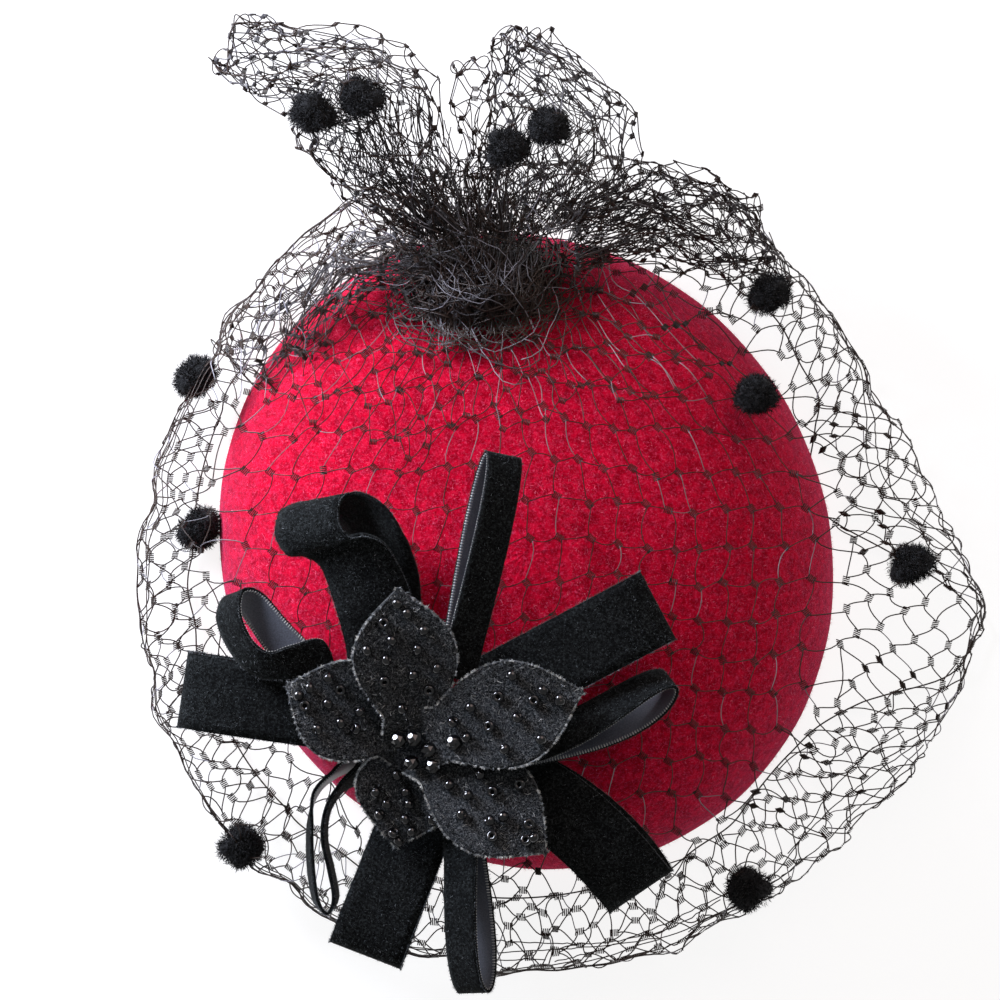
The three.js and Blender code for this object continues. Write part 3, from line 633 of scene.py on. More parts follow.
# Knots round a tube of net: where each is, the way its threads are wrapped, and which ones are joined.
def ringLattice(rows, place, wrap, stray):
    points, along, across, links, first = [], [], [], [], 0
    for j, row in enumerate(rows):
        drift = rng.normal(size=(2, len(row))) * stray
        level = j + np.clip(drift[0] / net["row"], -0.3, 0.3)
        step = place(row + 0.5, level) - place(row - 0.5, level)
        here = row + np.clip(drift[1] / np.maximum(np.linalg.norm(step, axis=-1), 0.3), -0.35, 0.35)
        points.append(place(here, level))
        across.append(unit(step + 1e-9))
        along.append(unit(place(here, level + 0.4) - place(here, level - 0.4) + 1e-9))
        if j + 1 < len(rows) and len(rows[j + 1]):
            for k, at in enumerate(row):
                away = (rows[j + 1] - at + wrap / 2) % wrap - wrap / 2
                for way in (1, -1):
                    near = np.where((away * way > 0.05) & (away * way < 3.2))[0]
                    if len(near):
                        links.append((first + k, first + len(row) + near[np.argmin(away[near] * way)]))
        first += len(row)
    return [np.concatenate(part) for part in (points, along, across)] + [np.array(links)]


# Threads and knots from such a lattice. A thread leaves each knot sideways and curves on to the next.
def pourNet(batch, knots, points, along, across, links, knotSize=1.0, kind=0):
    steps = np.linspace(0, 1, 7)[None, :, None]
    ease = steps * steps * (3 - 2 * steps)
    a, b = links[:, 0], links[:, 1]
    lengths = np.linalg.norm(points[b] - points[a], axis=-1)
    nearest = np.full(len(points), 12.0)
    np.minimum.at(nearest, a, lengths)
    np.minimum.at(nearest, b, lengths)
    over = crownShare(points[:, 0], points[:, 1]) < net["onCrown"]
    size = knotSize * np.where(over, 1.0, 1.05)
    thin = np.where(over, net["finer"], 1.0)[:, None]
    wide = np.minimum(net["knotWidth"] * size, nearest * 0.4)[:, None]
    span = points[b] - points[a]
    start, end = [points[k] + sign * across[k] * np.sign(dot(span, across[k])) * wide[k] * 0.4
                  for k, sign in ((a, 1), (b, -1))]
    span = end - start
    way = unit(along[a] * np.sign(dot(along[a], along[b])) + along[b] + 1e-9)
    lengthways = dot(span, way) * way
    bow = rng.normal(size=(len(links), 1, 3)) * (net["sag"] * lengths)[:, None, None] * [1, 1, 0.5]
    ease = mix(steps, ease, np.where(over[a], net["crownCurl"], net["curl"])[:, None, None])
    lines = (start[:, None] + (span - lengthways)[:, None] * steps + lengthways[:, None] * ease
             + bow * np.sin(math.pi * steps))
    # Filaments drawn in the pale net are a painted highlight. Those running front to back, which face the
    # light, get it more often.
    upright = np.abs(span[:, 1]) > np.abs(span[:, 0])
    lit = rng.uniform(size=len(links)) < net["lit"] * np.where(upright, net["litUpright"], net["litAcross"])
    thin = net["thread"] * mix(0.85, 1, knotSize) * thin[a]
    pourTubes(batch, lines[lit], thin[lit] * 0.8, 3, 2)
    pourTubes(batch, lines[~lit], thin[~lit], 3, kind)
    tall = np.minimum(net["knotLength"] * size / 2, nearest * 0.3)[:, None] * along
    bars = np.linspace(-0.5, 0.5, net["knotBars"])[None, :, None] * (across * wide)[:, None] + points[:, None]
    ends = np.stack([bars - tall[:, None], bars + tall[:, None]], 2).reshape(-1, 2, 3)
    pourTubes(knots, ends, net["bar"] * mix(0.6, 1, knotSize), 3, kind)


# Knots over the crown in columns and rows, crowding towards the gather; keep() says which are wanted.
def crownLattice(spec, keep):
    m, n = np.meshgrid(*[np.arange(-k, k + 1) for k in spec["lines"]], indexing="ij")
    across, down = heading(spec["turn"])[:2], heading(spec["turn"] + 90)[:2]
    p, q = m * spec["across"], n * spec["down"]
    p = p + 1.5 * np.sin(q / 19 + 0.6) + 1.2 * np.sin(p / 13 + q / 37 + spec["turn"])
    q = q + 2 * np.sin(p / 24 + 1) + np.sin(p / 9 + q / 21 + spec["turn"]) + 4 * (p / 80) ** 2
    p = gather["x"] + (p - gather["x"]) * (1 - spec["fan"] * smooth(q, 0, 85))
    flat = p[..., None] * across + q[..., None] * down
    middle = np.array([gather["x"], gather["y"]])
    away = np.linalg.norm(flat - middle, axis=-1, keepdims=True)
    crowded = 1 - spec["pull"] * np.exp(-((away / spec["pullReach"]) ** 2))
    flat = middle + (flat - middle) * crowded + rng.normal(size=flat.shape) * spec["wander"] * crowded
    wanted = keep(flat[..., 0], flat[..., 1])
    number = np.where(wanted, np.cumsum(wanted).reshape(wanted.shape) - 1, -1)
    links = [np.stack([number[:-1].ravel(), number[1:].ravel()], -1),
             np.stack([number[:, :-1].ravel(), number[:, 1:].ravel()], -1)]
    links = np.concatenate(links)
    links = links[(links >= 0).all(axis=1)]
    flat = flat[wanted]
    points = np.column_stack([flat, netHeight(flat[:, 0], flat[:, 1]) + spec["rise"]])
    angle = np.radians(spec["turn"] + 45) + rng.normal(0, 0.2, len(points))
    along = np.column_stack([ways(angle), 0 * angle])
    side = np.column_stack([-along[:, 1], along[:, 0], 0 * angle])
    return points, along, side, links


# Joins knots that have threads to spare at one net's edge to the nearest ones of another.
def joinEdges(first, second, reach):
    points, along, across = [np.concatenate(pair) for pair in zip(first[:3], second[:3])]
    shift = len(first[0])
    links = [first[3], second[3] + shift]
    spare = [4 - np.bincount(part[3].ravel(), minlength=len(part[0])) for part in (first, second)]
    gaps = np.linalg.norm(first[0][:, None] - second[0][None], axis=-1)
    pairs = set()
    for k in np.where(spare[0] > 0)[0]:
        if gaps[k].min() < reach:
            pairs.add((k, int(gaps[k].argmin()) + shift))
    for k in np.where(spare[1] > 0)[0]:
        if gaps[:, k].min() < reach:
            pairs.add((int(gaps[:, k].argmin()), k + shift))
    links.append(np.array(sorted(pairs)).reshape(-1, 2))
    return points, along, across, np.concatenate(links)


def crownShare(x, y):
    return np.hypot(x, y) / crownReach(np.degrees(np.arctan2(y, x)))


def inFold(x, y):
    away = np.hypot(x - gather["x"], y - gather["y"])
    angle = np.degrees(np.arctan2(y - gather["y"], x - gather["x"]))
    reach = aroundTable(foldedReach, angle) + ripple(angle, 2.1, [(5, 4), (9, 3)])
    return (away < reach) & (crownShare(x, y) < 1.03)


# Slack threads that follow the belt, where the net is drawn in.
def pourRunningThreads(batch, table, many):
    around = len(table)
    for _ in range(many):
        span = rng.uniform(0.08, 0.24) * around
        i = rng.uniform(0, around) + np.linspace(0, span, 60)
        level = net["runningLevel"] + rng.uniform(-4, 9) + 2 * np.sin(i / around * 40 + rng.uniform(0, 6))
        level = level + rng.normal(0, 0.1, 60)
        pourTubes(batch, lookUp(table, i, level)[None], net["thread"] * 0.9)


def addPouf():
    count = 2 * net["columns"]
    directions = np.arange(count * 2) * 180 / count - 180
    table, lengths = netTable(directions, net["row"] / 4)

    def place(i, j):
        turn = 2 * math.pi * i / count
        slipAlong = 0.4 * np.sin(5 * turn + 0.35 * j) + 0.3 * np.sin(11 * turn - 0.5 * j + 1)
        slipUp = 0.3 * np.sin(7 * turn + 0.4 * j) + 0.15 * np.sin(23 * turn + 1.1 * j)
        return lookUp(table, 2 * (i + slipAlong), 4 * (j + slipUp))

    rows = []
    i = np.arange(count)
    for j in range(int(lengths.max() / net["row"]) + 1):
        at = place(i.astype(float), np.full(count, float(j)))
        alive = ((j + 0.3) * net["row"] < lengths[2 * i]) & (crownShare(at[:, 0], at[:, 1]) > 1.0)
        rows.append(i[alive & ((i + j) % 2 == 0)].astype(float))
    belt = ringLattice(rows, place, count, net["wander"])
    over = crownLattice(crownNet, lambda x, y: crownShare(x, y) < 0.975)
    threads, knots = newBatch(), newBatch()
    pourNet(threads, knots, *joinEdges(belt, over, net["joinReach"]))
    fold = crownLattice(foldedNet, inFold)
    pourNet(threads, knots, *fold, 0.85)
    pourRunningThreads(threads, table, net["running"])
    around = np.arange(0, count + 0.25, 0.25)
    for lift in (0, 0.45):
        hem = place(around, np.zeros_like(around)) + up * lift
        pourTubes(threads, hem[None], net["thread"] * 1.2)
    addPiece("netPouf", threads, [blackNet, netPaintedSheen, netPaintedHighlight], ["veil"])
    addPiece("netPoufKnots", knots, [blackNet, netPaintedSheen], ["veil"])


addPouf()
print("net pouf made")

# Puffs and folds of the same net: a flattened tube between two edges. Each row holds the two edges'
# x and y, the height of its middle and how thick it is. Its layers are nested: for each, how large it
# is and how its crumples fall. Stems are threads that run up inside it.
puffs = {
    "netEarLeft": {
        "node": "ear_left", "columns": 8, "crumple": 2.6, "stems": 90, "layers": [(1.0, 0.7), (0.8, 2.1)],
        "rows": [(-33.6, 84.3, -12.4, 87, 45, 5), (-50.9, 94, -19, 106.9, 50, 10),
                 (-61, 106, -23, 126, 55, 12), (-64, 116, -36, 136, 57, 11), (-73, 121, -58, 138, 58, 8),
                 (-81, 127, -75, 141, 58, 5)],
    },
    "netEarRight": {
        "node": "ear_right", "columns": 8, "crumple": 2.6, "stems": 70, "layers": [(1.0, 2.6), (0.78, 3.9)],
        "rows": [(-12.4, 84.3, 19.5, 87, 45, 5), (-13, 103, 30.2, 96.3, 50, 10),
                 (-11, 119, 30.2, 114, 55, 12), (-8.5, 130, 18, 125, 58, 9), (-7, 136.2, 4.6, 135.6, 58, 4)],
    },
    "netEarMiddle": {
        "node": "ear_right", "columns": 4, "crumple": 1.6, "stems": 14, "layers": [(1.0, 1.7)],
        "rows": [(-16, 86, -6, 86, 45, 3), (-17.5, 104, -6.5, 106, 50, 4), (-19.5, 118, -8.5, 120, 53, 4),
                 (-18.5, 128, -11.5, 129.5, 54, 2.5)],
    },
    "netFoldRight": {
        "node": "veil", "columns": 9, "crumple": 2.4, "stems": 60, "layers": [(1.0, 4.5), (0.75, 1.2)],
        "rows": [(8, 92, 14, 74, 42, 4), (32, 102.9, 37, 77.7, 38, 7), (49, 101, 57, 72, 30, 8),
                 (60, 93, 69, 72, 20, 5)],
    },
    "netFoldLeft": {
        "node": "veil", "columns": 7, "crumple": 2.2, "stems": 40, "layers": [(1.0, 6.4), (0.7, 0.3)],
        "rows": [(-28, 87, -27, 68, 42, 4), (-50, 86, -46, 66, 36, 6), (-68, 68, -56, 50, 26, 6),
                 (-84, 56, -58, 34, 16, 5)],
    },
}


def puffTable(rows, around, along, size, crumple, seed):
    rows = np.array(rows, float)
    fine = np.linspace(0, len(rows) - 1, along)
    low = np.minimum(fine.astype(int), len(rows) - 2)
    share = (fine - low)[:, None]
    share = share * share * (3 - 2 * share) * 0.5 + share * 0.5
    now = mix(rows[low], rows[low + 1], share)
    left = np.concatenate([now[:, 0:2], now[:, 4:5]], 1)
    right = np.concatenate([now[:, 2:4], now[:, 4:5]], 1)
    turn = np.linspace(0, 2 * math.pi, around, endpoint=False)
    middle, half = (left + right) / 2, (right - left) / 2 * size
    grid = (middle[None] + half[None] * np.cos(turn)[:, None, None]
            + up * size * now[None, :, 5:6] * np.sin(turn)[:, None, None])
    k = np.arange(along)[None, :] * 6.0 / along
    t = turn[:, None]
    waves = np.stack([np.sin(2 * t + 2.1 * k + seed) * np.sin(1.3 * k + t),
                      np.sin(3 * t - 1.7 * k + 2 * seed),
                      0.8 * np.sin(2 * t + 2.9 * k + 3 * seed)], -1)
    return grid + waves * crumple


def addPuff(name, spec):
    threads = newBatch()
    length = sum(math.dist(a[:2], b[:2]) + math.dist(a[2:4], b[2:4])
                 for a, b in zip(spec["rows"], spec["rows"][1:])) / 2
    rowCount = int(length / net["row"])
    count = 2 * spec["columns"]
    for size, seed in spec["layers"]:
        table = puffTable(spec["rows"], count * 4, rowCount * 4 + 1, size, spec["crumple"], seed)

        def place(i, j):
            slip = 0.3 * np.sin(2 * math.pi * 2 * i / count + 0.5 * j + seed)
            return lookUp(table, 4 * (i + slip), 4 * j)

        rows = [np.arange(j % 2, count, 2).astype(float) for j in range(rowCount + 1)]
        # Inner layers are drawn in the grey net: a painted sheen.
        pourNet(threads, threads, *ringLattice(rows, place, count, 0.9), 0.75, 1 if size < 1 else 0)
        around = np.arange(count * 4 + 1.0)
        pourTubes(threads, lookUp(table, around, around * 0 + rowCount * 4)[None], net["thread"] * 0.9)
    pourStems(threads, table, spec["stems"])
    addPiece(name, threads, [blackNet, netPaintedSheen, netPaintedHighlight], [spec["node"]])


# Threads drawn out of the net where it is pinched, running up from the gather.
def pourStems(batch, table, many):
    around, along, _ = table.shape
    steps = np.linspace(0, 1, 14)
    start = rng.uniform(0, around, many)[:, None]
    reach = rng.uniform(0.2, 0.8, many)[:, None] * along
    drift = rng.normal(0, around * 0.07, many)[:, None]
    wave = rng.uniform(1.5, 4, many)[:, None]
    i = start + drift * steps + around * 0.03 * np.sin(wave * 2 * math.pi * steps + start)
    wall = lookUp(table, i, reach * steps)
    heart = lookUp(np.repeat(table.mean(axis=0, keepdims=True), 2, axis=0), i * 0, reach * steps)
    lines = mix(heart, wall, np.sqrt(rng.uniform(0, 1, (many, 1, 1))))
    lines = lines + np.cumsum(rng.normal(0, 0.28, lines.shape), axis=1)
    pourTubes(batch, lines[::2], net["thread"] * 0.8)
    # Half the stems are drawn in the grey net: a painted sheen.
    pourTubes(batch, lines[1::2], net["thread"] * 0.8, 3, 1)


for puffName, puffSpec in puffs.items():
    addPuff(puffName, puffSpec)
print("puffs made")

bunch = {
    "middle": (gather["x"] - 2.8, gather["y"]),
    "halfSize": (23, 14),
    "height": 13,
    # Grey threads are a painted sheen and pale ones a painted highlight.
    "dark": 0.52,  # share of its loose threads that are black,
    "grey": 0.8,  # or black or grey; the rest are pale
    "foot": 0.65,  # how far out its foot begins, where fewer threads are grey or pale: a painted shade
}
# Its threads: how many, how long, how far out they start, how high they rise as shares of its height,
# how much they curl, and how far behind its middle they start.
bunchThreads = {
    "dark": {"many": 800, "long": (8, 20), "spread": 0.8, "high": (0.0, 0.6), "curl": 1.6},
    "top": {"many": 340, "long": (14, 34), "spread": 0.85, "high": (0.5, 1.0), "curl": 2.2},
    "rising": {"many": 130, "long": (24, 44), "spread": 0.75, "high": (0.1, 0.9), "curl": 1.4, "back": 14},
    "stray": {"many": 9, "long": (30, 56), "spread": 0.9, "high": (0.3, 1.0), "curl": 3.2},
}


# Loose threads of the gather, most of them lying front to back and all of them curling.
def gatherThreads(many, long, spread, high, curl, back=0):
    steps = 12
    middle, halfSize = np.array(bunch["middle"]), np.array(bunch["halfSize"])
    t = np.linspace(0, 1, steps)
    angle = rng.uniform(0, 2 * math.pi, many)
    ragged = 1 + 0.16 * np.sin(3 * angle + 1) + 0.1 * np.sin(7 * angle)
    out = (np.sqrt(rng.uniform(0, 1, many)) * spread * ragged)[:, None]
    root = middle + halfSize * out * ways(angle) + [0, back]
    fanned = math.pi / 2 - 0.03 * (root[:, 0] - middle[0])
    straight = rng.uniform(size=many) < (0.9 if back else 0.75)
    way = np.where(straight, rng.normal(fanned, 0.35 if back else 0.5), rng.uniform(0, 2 * math.pi, many))
    length = rng.uniform(*long, many)
    bend = rng.normal(0, curl, many)
    direction = way - bend / 2
    place = root - ways(way) * length[:, None] * 0.45
    lines = np.zeros((many, steps, 3))
    for k in range(steps):
        lines[:, k, :2] = place
        place = place + ways(direction) * (length / steps)[:, None]
        direction = direction + bend / steps + rng.normal(0, 0.25, many)
    away = np.linalg.norm((lines[..., :2] - middle - [0, back / 2]) / (halfSize + [0, back / 2]), axis=-1)
    seat = np.maximum(crownHeight(lines[..., 0], lines[..., 1], netClearance + 0.6), 36 if back else 22)
    rise = rng.uniform(*high, many)[:, None] * bunch["height"]
    lines[..., 2] = seat + rise * np.clip(1.15 - away**2, 0, 1) * (0.5 + 0.5 * np.sin(math.pi * t)[None])
    return lines


# The gathered heart of the net: threads pulled up into a dense tuft. Some rise into the two ears
# behind it, and a few stray down the crown.
def addGather():
    batch = newBatch()
    thread = net["thread"] * 0.85
    pourTubes(batch, gatherThreads(**bunchThreads["dark"]), net["thread"])
    for lines in [gatherThreads(**bunchThreads[k]) for k in ("top", "rising")]:
        away = np.linalg.norm((lines[:, 6, :2] - bunch["middle"]) / bunch["halfSize"], axis=-1)
        # Fewer grey and pale threads at the foot: a painted shade.
        shade = rng.uniform(size=len(lines)) * np.where(away > bunch["foot"], 0.6, 1)
        grey, pale = shade >= bunch["dark"], shade >= bunch["grey"]
        pourTubes(batch, lines[~grey], thread)
        pourTubes(batch, lines[grey & ~pale], thread, 3, 1)
        pourTubes(batch, lines[pale], thread * 0.75, 3, 2)
    # The strays are all pale: a painted highlight.
    pourTubes(batch, gatherThreads(**bunchThreads["stray"]), thread * 0.8, 3, 2)
    addPiece("netGather", batch, [blackNet, netPaintedSheen, netPaintedHighlight], ["veil_gather"])


addGather()
print("gather made")


# Velvet ribbon in two widths; "picot" is the spacing of the small ticks along the narrow one's edges.
wideRibbon = {"width": 20, "thickness": 1.0, "lint": 420, "edgeLint": 130}
narrowRibbon = {"width": 10, "thickness": 0.9, "lint": 130, "edgeLint": 60, "picot": 0.75}
# Fibres on ribbon: how many times its lint, length, width, lean and shade.
pileFibres = [(1, 0.8, 0.07, 2.5, 2), (6, 0.55, 0.07, 1.5, 0)]
edgeFibres = [(6, 0.6, 0.08, 0.9, 0), (2, 0.6, 0.07, 0.9, 2)]
teardrop = {"swell": 0.65, "fullness": 1.5, "gap": 0.8}  # the open mouth of a loop, seen from its side
inward = unit(np.array([-flower["x"], -flower["y"], 0.0]))
padLift = netClearance + 0.5 + 0.6 + flower["padThickness"] / 2


def flowerPlane(x, y):
    rise = flower["slope"] * ((x - flower["x"]) * inward[0] + (y - flower["y"]) * inward[1])
    return float(crownHeight(np.array(flower["x"] * 1.0), np.array(flower["y"] * 1.0))) + padLift + rise


# A disc cut from thick felt, which the loops and petals are sewn to.
def addPad():
    a, b = shares(15, 15, -1)
    p = flower["padRadius"] * a * np.sqrt(1 - b * b / 2) / math.hypot(1, flower["slope"])
    q = flower["padRadius"] * b * np.sqrt(1 - a * a / 2)
    x = flower["x"] + inward[0] * p - inward[1] * q
    y = flower["y"] + inward[1] * p + inward[0] * q
    batch = newBatch()
    pourCloth(batch, np.stack([x, y, flowerPlane(x, y)], -1), flower["padThickness"], (0, 0, 1))
    piece = addPiece("feltPad", batch, [charcoalFelt, cutFelt], ["flower_pad"])


addPad()


# A bow loop: out along its lower layer, round the fold at its tip and back along the upper one.
def loopGrid(loop, width, along=97, across=9):
    u, v = shares(along, across)
    forward, side = heading(loop["heading"]), heading(loop["heading"] + 90)
    tip = np.array([loop["x"], loop["y"], 0.0])
    root = tip - forward * loop["reach"]
    rootZ = flowerPlane(root[0], root[1]) + loop["level"]
    turn = 2 * math.pi * u
    share = (1 - np.cos(turn)) / 2
    swell = -teardrop["swell"] * loop["mouth"] * np.sin(turn)
    lift = swell * np.abs(np.sin(turn / 2)) ** teardrop["fullness"] - teardrop["gap"] * np.cos(turn / 2)
    bulge = 4 * share * (1 - share)
    bank = np.radians(mix(loop.get("rootBank", 0), loop.get("tipBank", 0), share))
    sway = loop.get("sway", 0)
    square = unit(side + forward * (-4 * sway * (1 - 2 * share) / loop["reach"])[..., None])
    upward = up * np.cos(bank)[..., None] + side * np.sin(bank)[..., None]
    cross = square * np.cos(bank)[..., None] - up * np.sin(bank)[..., None]
    return (tip + forward * (loop["reach"] * (share - 1))[..., None] + side * (sway * bulge)[..., None]
            + up * (mix(rootZ, loop["z"], share) + loop["arch"] * bulge)[..., None]
            + upward * lift[..., None] + cross * ((0.5 - v) * width)[..., None])


# A loop that wanders, on a smooth curve through its rows.
def wanderGrid(rows, width, across=7, finer=8):
    rows = np.array(rows, float)
    padded = np.concatenate([2 * rows[:1] - rows[1:2], rows, 2 * rows[-1:] - rows[-2:-1]])
    at = np.linspace(0, len(rows) - 1, (len(rows) - 1) * finer + 1)
    k = np.minimum(at.astype(int), len(rows) - 2)
    t = (at - k)[:, None]
    a, b, c, d = (padded[k + n] for n in range(4))
    spine = 0.5 * (2 * b + (c - a) * t + (2 * a - 5 * b + 4 * c - d) * t**2 + (3 * b - a - 3 * c + d) * t**3)
    angle = np.radians(mix(b[:, 3], c[:, 3], t[:, 0]))
    tip = np.radians(mix(b[:, 4], c[:, 4], t[:, 0]))
    cross = np.stack([np.cos(angle) * np.cos(tip), np.sin(angle) * np.cos(tip), np.sin(tip)], -1)
    v = np.linspace(-0.5, 0.5, across)[None, :, None] * width
    return spine[:, None, :3] + cross[:, None] * v


# Straight loops: the place of each tip, and the direction and length from root to tip.
loops = {
    "ribbonWideLeft": {"node": "wide_loop_left", "x": -90.8, "y": -36.4, "z": 38.3, "heading": 171.5,
                       "reach": 45, "level": 1.5, "arch": 1, "mouth": 9, "tipBank": 4},
    "ribbonWideUpperRight": {"node": "wide_loop_upper_right", "x": 34.2, "y": -14.1, "z": 58.5, "heading": 28,
                             "reach": 55, "level": 1.3, "arch": 1.2, "mouth": 11},
    "ribbonWideLowerRight": {"node": "wide_loop_lower_right", "x": 30.2, "y": -89.4, "z": 46, "heading": -37,
                             "reach": 54, "level": 1.8, "arch": 4.6, "sway": 4.5, "mouth": 8, "tipBank": -12},
    "ribbonWideBottom": {"node": "wide_loop_bottom", "x": -42.7, "y": -106.6, "z": 37, "heading": -111,
                         "reach": 42, "level": 1, "arch": 1, "mouth": 10, "tipBank": -4},
    "ribbonNarrowTop": {"node": "narrow_loop_top", "x": -6.3, "y": 25.5, "z": 59.5, "heading": 78,
                        "reach": 60, "level": 4.6, "arch": 2, "mouth": 8, "rootBank": -22, "tipBank": -26},
    "ribbonNarrowRight": {"node": "narrow_loop_right", "x": 38, "y": -34, "z": 57.5, "heading": 22.4,
                          "reach": 47, "level": 6.2, "arch": 1.2, "sway": -3, "mouth": 9, "tipBank": 60},
    "ribbonNarrowBottom": {"node": "narrow_loop_bottom", "x": -13.8, "y": -116.4, "z": 42, "heading": -86,
                           "reach": 47, "level": 7.5, "arch": 2, "mouth": 8, "rootBank": -30, "tipBank": -42},
}
# Loops that wander: each row is x, y, z, the direction of the width and how far that is tipped up.
wanderingLoops = {
    "ribbonWideRolled": {"node": "wide_loop_upper_left", "rows": [
        (-37, -34, 49.8, 20, 0), (-37, -22, 51, 20, 10), (-37, -11, 51.8, 20, 22),
        (-37.6, -3.5, 53.6, 18, 38), (-39.4, 4, 56.3, 12, 50), (-44.4, 11, 57.2, 8, 46),
        (-51, 14.2, 57.8, 10, 42), (-56.6, 12.4, 58.6, 12, 35), (-57.8, 6.5, 60.4, 12, 31),
        (-55, 2.2, 60.4, 16, 30), (-50.5, 2, 60, 20, 35), (-46, -0.5, 59.4, 20, 27),
        (-43, -6, 57.6, 19, 17), (-40.5, -13, 56, 20, 4), (-38.3, -22, 54, 20, 0), (-37, -34, 51.4, 20, 0)]},
    "ribbonNarrowTwisted": {"node": "narrow_loop_upper_left", "satinOut": True, "rows": [
        (-49.5, -36.5, 49.8, 100, 0), (-54.3, -28, 52.3, 85, 10), (-62.7, -29, 53.3, 85, 30),
        (-69.7, -29.5, 52.3, 60, 45), (-75.2, -25, 51.8, 30, 50), (-78.7, -17, 51.3, 10, 50),
        (-77.2, -11, 48.8, 20, 60), (-72.7, -13.5, 47.8, 40, 40), (-65.7, -22.5, 48.4, 50, 20),
        (-57.7, -30.5, 48.7, 65, 5), (-50.5, -37.5, 47.8, 95, 0)]},
    "ribbonNarrowHanging": {"node": "narrow_loop_lower_left", "rows": [
        (-39.5, -52.5, 37.8, 120, 20), (-45.5, -55.5, 35.8, 135, 62), (-51, -59, 34.5, 140, 80),
        (-56, -64, 33.5, 160, 84), (-57.5, -72.5, 32.5, 180, 97), (-57.4, -83, 31.5, 180, 99),
        (-56, -92.5, 30.5, 180, 98), (-53, -96, 30, 180, 91), (-50.8, -92, 30, 180, 84),
        (-52, -84.5, 30.5, 180, 84), (-53.7, -76.5, 31.5, 180, 84), (-53, -69, 32.5, 170, 84),
        (-49.5, -63, 33.5, 150, 80), (-44, -59, 34.8, 135, 62), (-38, -56, 36.6, 120, 20)]},
}


# A cut of cloth and its loose lint, with how long it is in metres.
def addCut(name, node, grid, batch, lint, materials):
    piece = addPiece(name, batch, materials, [node])
    loose = addPiece(name + "Lint", lint, [darkLint, paleLint, greyLint], ())
    return piece, loose, float(travelled(grid[:, grid.shape[1] // 2])[-1]) / 1000


def addRibbon(name, node, grid, ribbon, satinOut=False):
    narrow = ribbon is narrowRibbon
    back = 1 if narrow else 0
    batch, lint = newBatch(), newBatch()
    kinds = (back, 0, 0) if satinOut else (0, back, 0)
    above, below, normals = pourCloth(batch, grid, ribbon["thickness"], kinds)
    pile, pileWay, satin = (below, -normals, above) if satinOut else (above, normals, below)
    for times, *fibre in pileFibres:
        pourFibres(lint, *scatter(pile, pileWay, ribbon["lint"] * times), *fibre)
    for edge in (0, 1):
        outward = unit(np.gradient(grid, axis=1)) * (1 if edge else -1) + pileWay * 0.5
        for times, *fibre in edgeFibres:
            pourFibres(lint, *scatter(pile, outward, ribbon["edgeLint"] * times, edge), *fibre)
    if narrow:
        for edge in (0, -1):
            line = satin[:, edge]
            length = travelled(line)
            at = np.arange(0, length[-1], ribbon["picot"])
            tick = unit(grid[:, 0] - grid[:, -1]) * (1 if edge == 0 else -1)
            spots, way = [np.stack([np.interp(at, length, part[:, k]) for k in range(3)], -1)
                          for part in (line, tick)]
            pourTubes(lint, np.stack([spots - way * 0.8, spots + way * 0.1], 1), 0.15, 3, 1)
    piece, loose, length = addCut(name, node, grid, batch, lint, [velvetPile, satinBack])


for loopName, loop in {**loops, **wanderingLoops}.items():
    ribbon = wideRibbon if "Wide" in loopName else narrowRibbon
    grid = wanderGrid(loop["rows"], ribbon["width"]) if "rows" in loop else loopGrid(loop, ribbon["width"])
    addRibbon(loopName, loop["node"], grid, ribbon, loop.get("satinOut", False))
print("ribbon made")


# The flower's petals, cut from charcoal felt.
petal = {
    "thickness": 1.3,
    "rootRadius": 3.5,
    "rootWidth": 16,
    "tipWidth": 0.8,
    "cup": 1.6,
    "broadest": 1.04,  # under 1 the leaf is broadest nearer its root
    "rootFullness": 0.5,
    "tipFullness": 1.05,
    # Fibres on its face and round its cut edge: how many, length, width, lean and shade.
    "fibres": [(1819, 0.8, 0.065, 2.4, 0), (1300, 1.1, 0.065, 2.4, 2), (390, 1.5, 0.065, 2.4, 1)],
    "edgeFibres": [(800, 0.75, 0.13, 0.9, 1), (533, 0.75, 0.13, 0.9, 2)],
    "edgeTufts": 52,
}
petals = {
    "petalLowerLeft": {"node": "petal_lower_left", "heading": -100, "reach": 28.5, "width": 27, "level": 4,
                       "z": 44, "arch": 2.5, "broadest": 0.72},
    "petalLowerRight": {"node": "petal_lower_right", "heading": -40, "reach": 45.5, "width": 27,
                        "level": 7.5, "z": 59.5, "arch": 2.5},
    "petalLeft": {"node": "petal_left", "heading": 156, "reach": 37, "width": 27, "level": 6, "z": 56,
                  "arch": 2.5},
    "petalRight": {"node": "petal_right", "heading": 17, "reach": 46.5, "width": 28, "level": 11.6, "z": 66,
                   "arch": 2.2},
    "petalTop": {"node": "petal_top", "heading": 96, "reach": 41, "width": 27.5, "level": 9.8, "z": 67,
                 "arch": 1.8},
}
seedBead = {"radius": 1.6, "hole": 0.42, "height": 1.05,
            "upright": 0.25, "drawnIn": 0.9}  # share that stand on end, and what shows of their height
# Seed beads on each petal: share of its length, share of its width.
seedPlaces = [(0.2, 0.6), (0.27, 0.36), (0.36, 0.74), (0.4, 0.5), (0.46, 0.22), (0.52, 0.66), (0.58, 0.4),
              (0.63, 0.85), (0.68, 0.58), (0.71, 0.24), (0.79, 0.72), (0.84, 0.44), (0.9, 0.6)]


